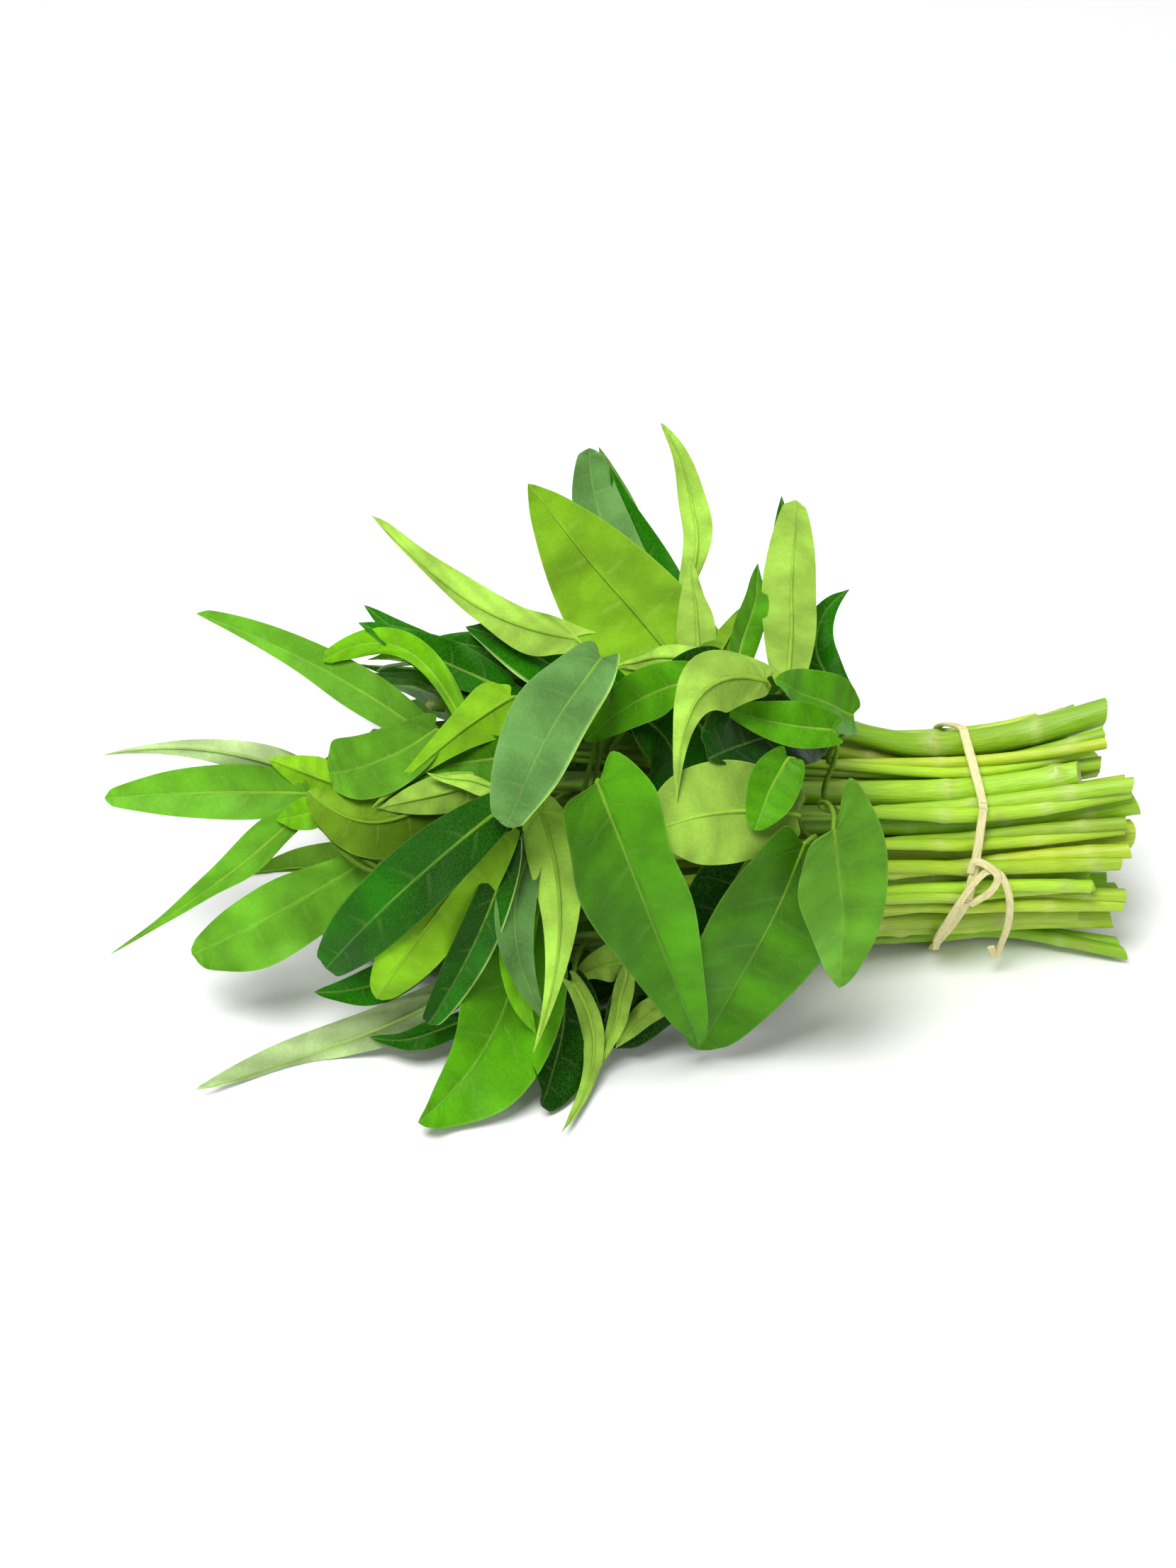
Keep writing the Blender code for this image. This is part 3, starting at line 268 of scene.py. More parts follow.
def pack_stems():
    """Radii and centres (across, up) of the stems in the tie, pressed together but apart."""
    draw = random.Random(SEED)
    radii = np.array([draw.uniform(*STEM_RADIUS) for _ in range(STEMS)])
    turn = math.pi * (3 - math.sqrt(5))
    out = np.sqrt((np.arange(STEMS) + 0.5) / STEMS)
    angle = np.arange(STEMS) * turn
    centres = np.stack(
        [BUNDLE_HALF_WIDTH * out * np.cos(angle), BUNDLE_HALF_HEIGHT * out * np.sin(angle)], axis=1
    )
    apart = radii[:, None] + radii[None, :] + STEM_GAP
    np.fill_diagonal(apart, 0)
    for step in range(PACK_STEPS):
        if step < PACK_STEPS * 0.6:
            centres *= 0.995
        between = centres[:, None, :] - centres[None, :, :]
        distance = np.linalg.norm(between, axis=2) + 1e-9
        push = np.maximum(0, apart - distance) * 0.5
        centres += (between / distance[:, :, None] * push[:, :, None]).sum(axis=1) * 0.5
        centres[:, 1] = np.maximum(centres[:, 1], radii - BUNDLE_DROP)
    return radii, centres


def make_stem_shapes():
    """For each stem: its place in the tie, radius, ends and the small sway of its own."""
    draw = random.Random(SEED + 1)
    radii, centres = pack_stems()
    shapes = []
    for number in range(STEMS):
        shapes.append({
            "at": centres[number],
            "radius": float(radii[number]),
            "cut": draw.uniform(*CUT_END_X),
            "tip": SHOOT_TIP_X[0] + (SHOOT_TIP_X[1] - SHOOT_TIP_X[0]) * draw.random() ** 1.3,
            "sway": (draw.uniform(-1, 1), draw.uniform(-1, 1)),
            "phase": draw.uniform(0, math.tau),
            "stray": 0.0,
            "rise": 0.0,
        })
    # The lowest stem in the view has come loose and ends further forward than the others.
    stray = shapes[int(np.argmin([s["at"] @ np.array([UP.y, UP.z]) for s in shapes]))]
    stray["stray"] = 1.0
    stray["cut"] = CUT_END_X[1]
    # The topmost stems in the view bend up and away from the others towards their leaves.
    heights = [s["at"] @ np.array([UP.y, UP.z]) for s in shapes]
    for shape, height in zip(shapes, heights):
        if height > 0.72 * max(heights):
            shape["rise"] = TOP_STEM_RISE
    return shapes


def stem_centre(shape, x):
    """Where this stem's middle is at x."""
    wide, high, low = fan(x)
    across, up = (float(value) for value in shape["at"])
    room = 3.2 * MM * min(wide - 1, low - 1)
    wave = math.sin(shape["phase"] + x / (38 * MM))
    middle = axis(x)
    y = across * wide + room * shape["sway"][0] * wave
    z = up * (high if up > 0 else low) + room * shape["sway"][1] * wave
    if shape["stray"] and x > TIE_X:
        slip = past_tie(x) ** 1.2
        y -= 15 * MM * slip
        z -= 1.5 * MM * slip
    bent = clamp((TIE_X - 12 * MM - x) / (70 * MM), 0, 1)
    y += UP.y * shape["rise"] * bent
    z += UP.z * shape["rise"] * bent
    return Vector((x, middle.y + y, middle.z + z))


def stem_radius(shape, x):
    if x > TIE_X:
        return shape["radius"] * (1 + 0.05 * (x - TIE_X) / CUT_REACH)
    along = (TIE_X - x) / (TIE_X - shape["tip"])
    return shape["radius"] * (1 - 0.52 * along)


def stem_stations(shape):
    """x of each ring, from the cut end to the shoot tip."""
    steps = 4
    first = TIE_X - 12 * MM
    leafward = [first + (shape["tip"] - first) * (k / steps) for k in range(steps + 1)]
    return [shape["cut"], TIE_X + 26 * MM, TIE_X + 10 * MM] + leafward


# Plain triangle meshes, as (points, faces)


def tube(path, radii, sides, point_end=False):
    """A closed tube of flat-sided rings along a path, with a pointed far end if asked."""
    points, faces = [], []
    for k, centre in enumerate(path):
        ahead = path[min(k + 1, len(path) - 1)] - path[max(k - 1, 0)]
        turn = ahead.to_track_quat("Z", "Y")
        for side in range(sides):
            angle = math.tau * side / sides
            spoke = Vector((math.cos(angle), math.sin(angle), 0)) * radii[k]
            points.append(centre + turn @ spoke)
    for k in range(len(path) - 1):
        for side in range(sides):
            a, b = k * sides + side, k * sides + (side + 1) % sides
            faces += [(a, b, b + sides), (a, b + sides, a + sides)]
    last = (len(path) - 1) * sides
    faces += [(0, side + 1, side) for side in range(1, sides - 1)]
    if point_end:
        points.append(path[-1] + (path[-1] - path[-2]).normalized() * radii[-1] * 1.5)
        faces += [(last + side, last + (side + 1) % sides, len(points) - 1) for side in range(sides)]
    else:
        faces += [(last, last + side, last + side + 1) for side in range(1, sides - 1)]
    return points, faces


def blade_place(spec, t, s):
    """A point of a blade's middle surface, and the blade's normal there.

    t runs along the midrib from the petiole to the tip, below 0 in the lobes, and s across.
    """
    base, bend, tip = spec["points"]
    length = (tip - base).length
    start = (bend - base).normalized()
    if t < 0:
        rib, ahead = base + start * (t * length), start
    else:
        rib = base * (1 - t) ** 2 + bend * (2 * t * (1 - t)) + tip * t**2
        ahead = ((bend - base) * (1 - t) + (tip - bend) * t).normalized()
    facing = spec["facing"][0].lerp(spec["facing"][1], clamp(t, 0, 1))
    normal = (facing - ahead * facing.dot(ahead)).normalized()
    across = ahead.cross(normal)
    place = rib + across * (s * math.cos(spec["fold"])) + normal * (abs(s) * math.sin(spec["fold"]))
    return place, normal


def blade_corner(corner, side, face):
    """The name of a corner on this side of the midrib and this face of the blade."""
    if corner == "m4":
        return corner
    if corner[0] == "m":
        return corner + ("+" if face > 0 else "-")
    return f"{corner}{side}"


def leaf_mesh(spec, swell=0.0):
    """A lens-shaped blade, thickest at its midrib, and its petiole once that is known, in one skin.

    swell makes the blade that much larger all round.
    """
    half, length = spec["half_width"], (spec["points"][2] - spec["points"][0]).length
    thick = BLADE_THICKNESS / 2 + swell
    points, index, faces = [], {}, []

    def add(name, place):
        index[name] = len(points)
        points.append(Vector((place.x, place.y, max(place.z, FLOOR_CLEARANCE))))
        return points[-1]

    for k, t in enumerate(MIDRIB):
        place, normal = blade_place(spec, t, 0)
        place.z = max(place.z, FLOOR_CLEARANCE + thick)
        add(f"m{k}+", place + normal * thick)
        add(f"m{k}-", place - normal * thick)
    add("m4", blade_place(spec, 1 + swell / length, 0)[0])
    for side in (1, -1):
        for k, (t, s) in enumerate(spec["forms"][side]):
            add(f"e{k}{side}", blade_place(spec, t, side * (s * half + swell))[0])
        add(f"r{side}", blade_place(spec, 0, side * PETIOLE_RADIUS * 0.8)[0])
        for face in (1, -1):
            for corners in HALF_BLADE:
                triangle = [index[blade_corner(corner, side, face)] for corner in corners]
                faces.append(triangle if side * face > 0 else triangle[::-1])
        sinus = [("m0+", f"r{side}"), (f"r{side}", "m0-")]
        for first, second in sinus:
            shut = [index[f"e0{side}"], index[first], index[second]]
            faces.append(shut if side > 0 else shut[::-1])
    joint = [index[name] for name in ("m0+", "r1", "m0-", "r-1")]
    if "petiole" in spec:
        add_stalk(points, faces, joint, spec)
    else:
        faces += [[joint[0], joint[2], joint[1]], [joint[0], joint[3], joint[2]]]
    return points, faces


def add_stalk(points, faces, joint, spec):
    """Grows a four-sided stalk from the blade's foot back along the petiole's path."""
    path = spec["petiole"]
    normal = blade_place(spec, 0, 0)[1]
    ring = joint
    for k in range(len(path) - 2, -1, -1):
        ahead = (path[k + 1] - path[max(k - 1, 0)]).normalized()
        normal = (normal - ahead * normal.dot(ahead)).normalized()
        across = ahead.cross(normal)
        radius = petiole_radii(len(path))[k]
        first = len(points)
        for direction in (normal, across, -normal, -across):
            points.append(path[k] + direction * radius)
        behind = [first + corner for corner in range(4)]
        for corner in range(4):
            after = (corner + 1) % 4
            faces.append([ring[corner], behind[corner], behind[after]])
            faces.append([ring[corner], behind[after], ring[after]])
        ring = behind
    faces += [[ring[0], ring[2], ring[1]], [ring[0], ring[3], ring[2]]]


def stalk_curve(start, lead, trail, base, steps, lowest):
    """Points on a cubic curve from start to base that stays above a height."""
    path = []
    for k in range(steps + 1):
        t = k / steps
        place = (
            start * (1 - t) ** 3 + lead * (3 * t * (1 - t) ** 2) + trail * (3 * t**2 * (1 - t)) + base * t**3
        )
        place.z = max(place.z, lowest)
        path.append(place)
    return path


def petiole(start, start_ahead, spec):
    """The solid's stalk, from a stem's middle to the foot of a blade."""
    base, bend, _ = spec["points"]
    arrive = (bend - base).normalized()
    span = (base - start).length
    lead, trail = start + start_ahead * span * STALK_LEAD, base - arrive * span * STALK_TRAIL
    return stalk_curve(start, lead, trail, base, PETIOLE_STEPS, PETIOLE_RADIUS + 0.2 * MM)


def petiole_radii(count, swell=0.0):
    return [PETIOLE_RADIUS * (1 - 0.25 * k / (count - 1)) + swell for k in range(count)]


# Places read from the reference view


def sight(pixel, depth):
    """The point seen at a pixel, this much nearer than the plane through the view's middle."""
    shrink = 1 - depth / VIEW_DISTANCE
    across = (pixel[0] - PHOTO_WIDTH / 2) * PIXEL * shrink
    up = (PHOTO_HEIGHT / 2 - pixel[1]) * PIXEL * shrink
    return VIEW_ORIGIN + RIGHT * across + UP * up + BACK * depth


def surface_depth(pixel):
    """How near the leafy mass comes on the line of sight through a pixel."""
    across = (pixel[0] - PHOTO_WIDTH / 2) * PIXEL
    up = (PHOTO_HEIGHT / 2 - pixel[1]) * PIXEL
    leafward = clamp((TIE_X - across) / LEAF_REACH, 0, 1.2)
    thick = 40 * MM + 28 * MM * math.sin(math.pi * min(1, leafward) ** 1.1) - 10 * MM * leafward
    share = (up + AXIS_BELOW_CENTRE) / (100 * MM)
    return across * BACK.x + thick * math.sqrt(max(0.05, 1 - share**2))


def floor_depth(pixel):
    """The depth at which the line of sight through a pixel comes down to the floor."""
    up = (PHOTO_HEIGHT / 2 - pixel[1]) * PIXEL
    return (2 * MM - VIEW_ORIGIN.z - up * UP.z) / BACK.z


def surface_facing(pixel):
    """The leafy mass's outward direction where the view sees a pixel."""
    step = 16
    across = (surface_depth((pixel[0] + step, pixel[1])) - surface_depth((pixel[0] - step, pixel[1])))
    down = (surface_depth((pixel[0], pixel[1] + step)) - surface_depth((pixel[0], pixel[1] - step)))
    run = 2 * step * PIXEL
    return (BACK - RIGHT * (across / run) * 0.6 + UP * (down / run) * 0.6).normalized()


def seen_spec(row, push):
    """A seen leaf's blade, its base and tip moved along the line of sight by the two of push."""
    pixels = (row.base, row.middle, row.tip)
    pushes = (push[0], (push[0] + push[1]) / 2, push[1])
    base, middle, tip = (
        sight(p, max(surface_depth(p) + moved, floor_depth(p))) for p, moved in zip(pixels, pushes)
    )
    points = [base, middle * 2 - (base + tip) * 0.5, tip]
    turn = Matrix.Rotation(math.radians(row.roll), 3, (points[2] - points[0]).normalized())
    facing = [turn @ surface_facing(p) * row.side for p in (row.base, row.tip)]
    return {
        "name": row.name, "points": points, "facing": facing, "side": row.side,
        "half_width": row.half_width, "fold": math.radians(row.fold),
        "forms": {row.side: row.form, -row.side: row.other},
    }


def to_pixel(place):
    """Where the reference view sees a point."""
    seen = place - VIEW_ORIGIN
    scale = VIEW_DISTANCE / (VIEW_DISTANCE - seen.dot(BACK)) / PIXEL
    return PHOTO_WIDTH / 2 + seen.dot(RIGHT) * scale, PHOTO_HEIGHT / 2 - seen.dot(UP) * scale


def in_outline(spec):
    """Whether the reference view sees the whole blade inside the leafy part's outline."""
    for place in leaf_mesh(spec)[0]:
        x, y = to_pixel(place)
        inside = False
        for k, (ax, ay) in enumerate(LEAFY_OUTLINE):
            bx, by = LEAFY_OUTLINE[k - 1]
            if (ay > y) != (by > y) and x < (bx - ax) * (y - ay) / (by - ay) + ax:
                inside = not inside
        if not inside:
            return False
    return True


def seeded_spec(group, number, push):
    """A leaf of a seeded group, moved out from the bunch's axis by push.

    A group says which turns about the axis it covers, in degrees from the top towards the
    front, where its leaves start along the bunch, how long they are and how far they lean out.
    """
    draw = random.Random(SEED * 1000 + group.seed + number)
    turn = math.radians(group.turns[0] + (group.turns[1] - group.turns[0]) * ((number * 0.618) % 1))
    swing = turn + math.radians(draw.uniform(-30, 30))
    start = draw.uniform(*group.starts) * MM
    length = draw.uniform(*group.lengths) * MM
    lean = math.radians(draw.uniform(*group.leans))
    half = length * draw.uniform(0.15, 0.22)
    side = TOP if draw.random() < 0.68 else UNDER
    wide, high, low = fan(start)

    def skin(angle, reach):
        up = math.cos(angle)
        tall = BUNDLE_HALF_HEIGHT * (high if up > 0 else low)
        return Vector((0, -math.sin(angle) * (BUNDLE_HALF_WIDTH * wide + reach), up * (tall + reach)))

    base = axis(start) + skin(turn, 5 * MM + push)
    outward = skin(turn, 0).normalized()
    ahead = Vector((-math.cos(lean), 0, 0)) + skin(swing, 0).normalized() * math.sin(lean)
    ahead.normalize()
    bend = base + ahead * length * 0.5 + outward * length * 0.06
    tip = base + ahead * length - Vector((0, 0, length * 0.14))
    for place in (base, bend, tip):
        place.z = max(place.z, FLOOR_CLEARANCE)
    fold = math.radians(draw.uniform(8, 22))
    form = draw.choice((ARROW, LANCE, OVAL))
    return {
        "name": f"{group.name}_{number}", "points": [base, bend, tip], "side": side,
        "facing": [outward * side, (outward + Vector((0, 0, 0.5))).normalized() * side],
        "half_width": half, "fold": fold, "forms": {1: form, -1: form}, "filler": True,
    }


def shoot_spec(shapes, number, push):
    """The youngest leaf of a stem, drawn out past its shoot tip."""
    draw = random.Random(SEED * 77 + number)
    shape = shapes[number]
    tip_x = shape["tip"]
    end, before = stem_centre(shape, tip_x), stem_centre(shape, tip_x + 12 * MM)
    growth = (end - before).normalized()
    outward = Vector((0, end.y, end.z - axis(tip_x).z)).normalized()
    aside = growth.cross(outward)
    length = draw.uniform(34, 62) * MM
    ahead = (growth + outward * draw.uniform(0, 0.35) + aside * draw.uniform(-0.3, 0.3)).normalized()
    base = end + growth * (7 * MM + push)
    bend, tip = base + ahead * length * 0.5, base + ahead * length - Vector((0, 0, length * 0.1))
    for place in (base, bend, tip):
        place.z = max(place.z, FLOOR_CLEARANCE)
    side = draw.choice((TOP, TOP, UNDER))
    facing = (outward + aside * draw.uniform(-0.8, 0.8)).normalized() * side
    return {
        "name": f"shoot_{number}", "points": [base, bend, tip], "side": side, "facing": [facing, facing],
        "half_width": length * draw.uniform(0.12, 0.17), "fold": math.radians(draw.uniform(10, 30)),
        "forms": {1: LANCE, -1: LANCE}, "filler": True,
    }


# Placing: each leaf goes where it is clear of everything placed before it


class Clearance:
    """The shapes placed so far, and whether another one would touch them."""

    def __init__(self):
        self.placed = []
        self.seen = []

    def add(self, owner, shape, seen=False):
        tree = BVHTree.FromPolygons(*shape)
        self.placed.append((owner, tree, *self.box(shape[0])))
        if seen:
            self.seen.append(tree)

    def in_line(self, shape, nearer):
        """Whether a seen leaf stands nearer to the viewer than the shape, or further behind it."""
        for place in shape[0]:
            sight_line = (VIEWER - place).normalized() * (1 if nearer else -1)
            for tree in self.seen:
                if tree.ray_cast(place + sight_line * 0.2 * MM, sight_line)[0]:
                    return True
        return False

    @staticmethod
    def box(points):
        array = np.array([tuple(p) for p in points])
        return array.min(axis=0), array.max(axis=0)

    def blocked(self, shape, skip=None):
        low, high = self.box(shape[0])
        tree = None
        for owner, other, other_low, other_high in self.placed:
            if owner == skip or (low > other_high).any() or (high < other_low).any():
                continue
            tree = tree or BVHTree.FromPolygons(*shape)
            if tree.overlap(other):
                return True
        return False


def find_petiole(spec, shapes, space):
    """The nearest stem that a petiole can reach from this blade clear of everything, and its path."""
    base, blade = spec["points"][0], BVHTree.FromPolygons(*leaf_mesh(spec))
    tries = []
    for number, shape in enumerate(shapes):
        for behind in (26, 44, 12, 64, 86, 0):
            x = base.x + behind * MM
            if shape["tip"] + 2 * MM < x < TIE_X - 16 * MM:
                start = stem_centre(shape, x)
                tries.append(((base - start).length + abs(behind - 30) * 0.15 * MM, number, x))
    for _, number, x in sorted(tries)[:70]:
        shape = shapes[number]
        start = stem_centre(shape, x)
        growth = (stem_centre(shape, x - 4 * MM) - start).normalized()
        outward = (base - start).normalized()
        grip = start, (growth + outward * 0.5).normalized()
        path = petiole(*grip, spec)
        guard = tube(path, petiole_radii(len(path), BLADE_CLEARANCE), 4)
        stalk = tube(path[:-1], petiole_radii(len(path))[:-1], 4)
        through = blade.overlap(BVHTree.FromPolygons(*stalk))
        if not through and not space.blocked(guard, skip=("stem", number)):
            return number, path, grip
    return None


def settle(make_spec, pushes, shapes, space):
    """Moves a leaf outwards until its blade and petiole are clear. Returns None if it never is."""
    for push in pushes:
        spec = make_spec(push)
        filler = "filler" in spec
        if filler and not in_outline(spec):
            continue
        shape = leaf_mesh(spec, BLADE_CLEARANCE)
        if space.blocked(shape) or space.in_line(shape, nearer=not filler):
            continue
        found = find_petiole(spec, shapes, space)
        if found:
            spec["stem"], spec["petiole"], spec["grip"] = found
            space.add(("leaf", spec["name"]), leaf_mesh(spec), seen=not filler)
            return spec
    return None


def stem_mesh(shape):
    stations = stem_stations(shape)
    path = [stem_centre(shape, x) for x in stations]
    radii = [stem_radius(shape, x) for x in stations]
    return tube(path, radii, STEM_SIDES, point_end=True)


def lay_out():
    """The stems' shapes, and every leaf with its place and the stem that it grows from."""
    shapes, space = make_stem_shapes(), Clearance()
    for number, shape in enumerate(shapes):
        space.add(("stem", number), stem_mesh(shape))
    leaves = []
    for row in SEEN_LEAVES:
        leaves.append(settle(lambda push, r=row: seen_spec(r, push), SEEN_PUSHES, shapes, space))
    for group in (BACK_LEAVES, INNER_LEAVES):
        placed = 0
        for number in range(group.tries):
            if placed < group.count:
                spec = settle(
                    lambda push, g=group, n=number: seeded_spec(g, n, push), SEEDED_PUSHES, shapes, space
                )
                placed += spec is not None
                leaves.append(spec)
    for number in range(0, STEMS, SHOOT_EVERY):
        spec = settle(lambda push, n=number: shoot_spec(shapes, n, push), SHOOT_PUSHES, shapes, space)
        leaves.append(spec)
    leaves = [spec for spec in leaves if spec]
    return shapes, leaves, space


# Tie


def tie_path():
    """The strip's inner line round the stems at the tie, as (across, up) from the axis."""
    radii, centres = pack_stems()
    angles = np.arange(TIE_POINTS) * math.tau / TIE_POINTS - math.pi / 2
    normals = np.stack([np.cos(angles), np.sin(angles)], axis=1)
    reach = (centres @ normals.T + radii[:, None]).max(axis=0) + TIE_GAP
    corners = []
    for k in range(TIE_POINTS):
        pair = [k, (k + 1) % TIE_POINTS]
        corners.append(np.linalg.solve(normals[pair], reach[pair]))
    return np.array(corners)


def tie_normals(path):
    ahead = np.roll(path, -1, axis=0) - np.roll(path, 1, axis=0)
    ahead /= np.linalg.norm(ahead, axis=1)[:, None]
    return np.stack([ahead[:, 1], -ahead[:, 0]], axis=1)


def tie_x(across, up):
    """The strip bows towards the cut ends on the side that faces the view."""
    facing = (across * BACK.y + up * BACK.z) / BUNDLE_HALF_WIDTH
    lean = TIE_LEAN * (across * UP.y + up * UP.z)
    return TIE_X + lean + TIE_SWAY * max(0.0, facing) ** 2


def tie_ring():
    """The closed band, as one mesh."""
    path = tie_path()
    normals = tie_normals(path)
    points, faces = [], []
    for (across, up), (normal_across, normal_up) in zip(path, normals):
        x = tie_x(across, up)
        for out in (0, TIE_THICKNESS):
            for side in (-1, 1):
                points.append(Vector((
                    x + side * TIE_WIDTH / 2, across + normal_across * out, AXIS_HEIGHT + up + normal_up * out
                )))
    count = len(path)
    # Corners of the strip's section, in order round it
    order = (0, 1, 3, 2)
    for k in range(count):
        here, there = 4 * k, 4 * ((k + 1) % count)
        for corner in range(4):
            a, b = order[corner], order[(corner + 1) % 4]
            faces += [(here + a, here + b, there + b), (here + a, there + b, there + a)]
    return points, faces


def on_bundle(degrees, x, height):
    """A point over the bundle's skin: degrees from the top towards the front, x from the tie."""
    angle = math.radians(degrees)
    ray = np.array([-math.sin(angle), math.cos(angle)])
    path = tie_path()
    reach = (path @ ray).max()
    wide = fan(TIE_X + x)[0]
    out = Vector((0, ray[0], ray[1]))
    return axis(TIE_X) + Vector((x, 0, 0)) + out * (reach * min(wide, 1.03) + height)


def strip(path, outwards, width, thickness):
    """A flat strip along a path, with its broad face turned outwards."""
    points, faces = [], []
    for k, centre in enumerate(path):
        ahead = (path[min(k + 1, len(path) - 1)] - path[max(k - 1, 0)]).normalized()
        normal = (outwards[k] - ahead * outwards[k].dot(ahead)).normalized()
        across = ahead.cross(normal)
        for a, b in ((-1, -1), (1, -1), (1, 1), (-1, 1)):
            points.append(centre + across * (a * width / 2) + normal * (b * thickness / 2))
    for k in range(len(path) - 1):
        for corner in range(4):
            a, b = 4 * k + corner, 4 * k + (corner + 1) % 4
            faces += [(a, b, b + 4), (a, b + 4, a + 4)]
    last = 4 * (len(path) - 1)
    faces += [(0, 2, 1), (0, 3, 2), (last, last + 1, last + 2), (last, last + 2, last + 3)]
    return points, faces


# The free end: (degrees from the top, mm from the tie, mm over the skin)
TAIL = (
    (132, -1, 1.8), (118, -3, 2.4), (100, -4.5, 2.6), (84, -3.5, 2.8), (74, 0, 3.0), (69, 4, 3.2),
    (72, 9, 3.2), (84, 14, 3.4), (102, 18, 4.2), (120, 20, 6.0), (127, 19, 8.0), (118, 15.5, 7.6),
)
# The turn that the free end takes round the band
HITCH = ((88, 1.5, 1.0), (80, 6.5, 2.6), (72, 7.5, 4.0), (66, 3, 4.4), (64, -1.5, 2.6), (70, -2, 1.2))


def smooth_line(knots, per_span=3):
    """Points on a Catmull-Rom curve through the knots."""
    knots = [Vector(k) for k in knots]
    padded = [knots[0] * 2 - knots[1]] + knots + [knots[-1] * 2 - knots[-2]]
    made = []
    for k in range(1, len(padded) - 2):
        a, b, c, d = padded[k - 1:k + 3]
        for step in range(per_span):
            t = step / per_span
            squared, cubed = 2 * a - 5 * b + 4 * c - d, 3 * b - a - 3 * c + d
            made.append(0.5 * (2 * b + (c - a) * t + squared * t**2 + cubed * t**3))
    return made + [knots[-1]]


def strand_line(knots, per_span):
    """The middle line of the free end or the hitch, from its knots over the bundle's skin."""
    return smooth_line([on_bundle(d, x * MM + tie_x_at(d) - TIE_X, h * MM) for d, x, h in knots], per_span)


def tie_strands():
    """The free end and the hitch as the solid has them."""
    made = []
    middle = axis(TIE_X)
    for knots in (TAIL, HITCH):
        line = strand_line(knots, 2)
        outwards = [Vector((0, p.y - middle.y, p.z - middle.z)) for p in line]
        made.append(strip(line, outwards, STRAND_WIDTH, TIE_THICKNESS))
    return made


def tie_x_at(degrees):
    angle = math.radians(degrees)
    return tie_x(-math.sin(angle) * BUNDLE_HALF_WIDTH, math.cos(angle) * BUNDLE_HALF_WIDTH)


# Fine meshes

Tone = namedtuple("Tone", "top under")


def srgb(red, green, blue):
    """A colour as seen on a screen, in the linear values that materials take."""
    shares = (value / 255 for value in (red, green, blue))
    return tuple(v / 12.92 if v < 0.04045 else ((v + 0.055) / 1.055) ** 2.4 for v in shares)


def mix(first, second, share):
    return tuple(a + (b - a) * share for a, b in zip(first, second))


# Upper and under side of a leaf, by how the bunch shows it
# The first tone is painted shade: near black green for the leaves that fill the shaded hollows deep in the
# bunch
PAINTED_SHADE_TONE = Tone(srgb(6, 60, 0), srgb(60, 110, 20))
DARK = Tone(srgb(26, 106, 0), srgb(84, 142, 30))
MID = Tone(srgb(78, 150, 10), srgb(116, 168, 44))
FRESH = Tone(srgb(100, 165, 38), srgb(130, 180, 50))
LIME = Tone(srgb(84, 150, 20), srgb(124, 176, 30))
PALE = Tone(srgb(84, 150, 20), srgb(162, 204, 78))
BRIGHT = Tone(srgb(112, 184, 14), srgb(138, 198, 30))
# The grey tone is a painted reflection: a greyish sky sheen laid over the green of the leaves it names
GREY = Tone(srgb(96, 144, 74), srgb(108, 150, 70))
OLIVE = Tone(srgb(92, 146, 24), srgb(116, 160, 32))
SILVER = Tone(srgb(120, 164, 80), srgb(188, 214, 148))
TONES = {
    name: tone
    for tone, names in (
        (PAINTED_SHADE_TONE, "heart_deep heart_deep_high core_deep skirt_shade front_shadow heart_top skirt_fold"),
        (LIME, "crown_large"),
        (PALE, "crown_spear crown_cuff upright_pale rear_pale shoulder_curl heart_rim"),
        (PALE, "heart_pale front_tongue front_sprig front_ribbon"),
        (PALE, "front_hanging skirt_pale mid_pale mid_rolled"),
        (SILVER, "end_white low_silver"),
        (BRIGHT, "mid_bright young_upper young_lower skirt_bright side_bright rear_hook"),
        (OLIVE, "curl_olive ridge_low"),
        (GREY, "crown_grey crown_shadow front_grey skirt_blue"),
        (FRESH, "far_sabre end_broad end_hanging end_wavy mid_round front_arrow front_cheek"),
        (MID, "mid_green heart_green ridge_blade shoulder_shadow skirt_large front_oval front_spear"),
        (MID, "shoulder_green shoulder_grey"),
    )
    for name in names.split()
}
# Height of the waves along the margin, in mm, where it isn't the usual one
WAVES = {
    "end_wavy": 2.2, "low_silver": 1.8, "end_white": 1.8, "rear_pale": 1.6, "shoulder_curl": 1.8,
    "heart_pale": 2.6, "heart_dark": 2.0, "heart_green": 1.6, "skirt_large": 1.6, "curl_olive": 1.6,
}
USUAL_WAVE = 0.8
# Painted light and shade of a seen blade, as factors on its tint: the painted shade at its foot, where it
# lies in the bunch's shade, then how lit the half at the right hand of one who goes from foot to tip is
# painted, and the other half, as one half of a fold lies in light and the other in shade; a few also set the
# tone
USUAL_PAINTED_SHADES = (0.86, 1.03, 0.97)
PAINTED_SHADES = {
    "front_spear": (0.95, 0.86, 1.3), "front_oval": (0.62, 1.0, 1.12), "front_arrow": (0.85, 1.12, 0.94),
    "skirt_large": (0.3, 1.0, 1.1), "side_long": (0.62, 1.05, 0.72), "side_dark": (0.35, 0.6, 1.1),
    "side_bright": (0.6, 1.0, 0.92), "front_grey": (0.92, 1.0, 0.92), "crown_large": (1.25, 0.95, 1.0),
    "heart_dark": (0.6, 0.8, 1.2), "end_wavy": (0.8, 1.1, 0.9), "mid_green": (0.5, 1.0, 1.0),
    "curl_olive": (0.6, 1.1, 0.9), "low_silver": (0.8, 0.9, 1.08), "front_hanging": (1.0, 1.3, 1.2),
    "shoulder_curl": (0.8, 1.06, 0.9), "heart_pale": (0.66, 0.8, 1.0), "skirt_fold": (0.6, 1.2, 1.2),
}
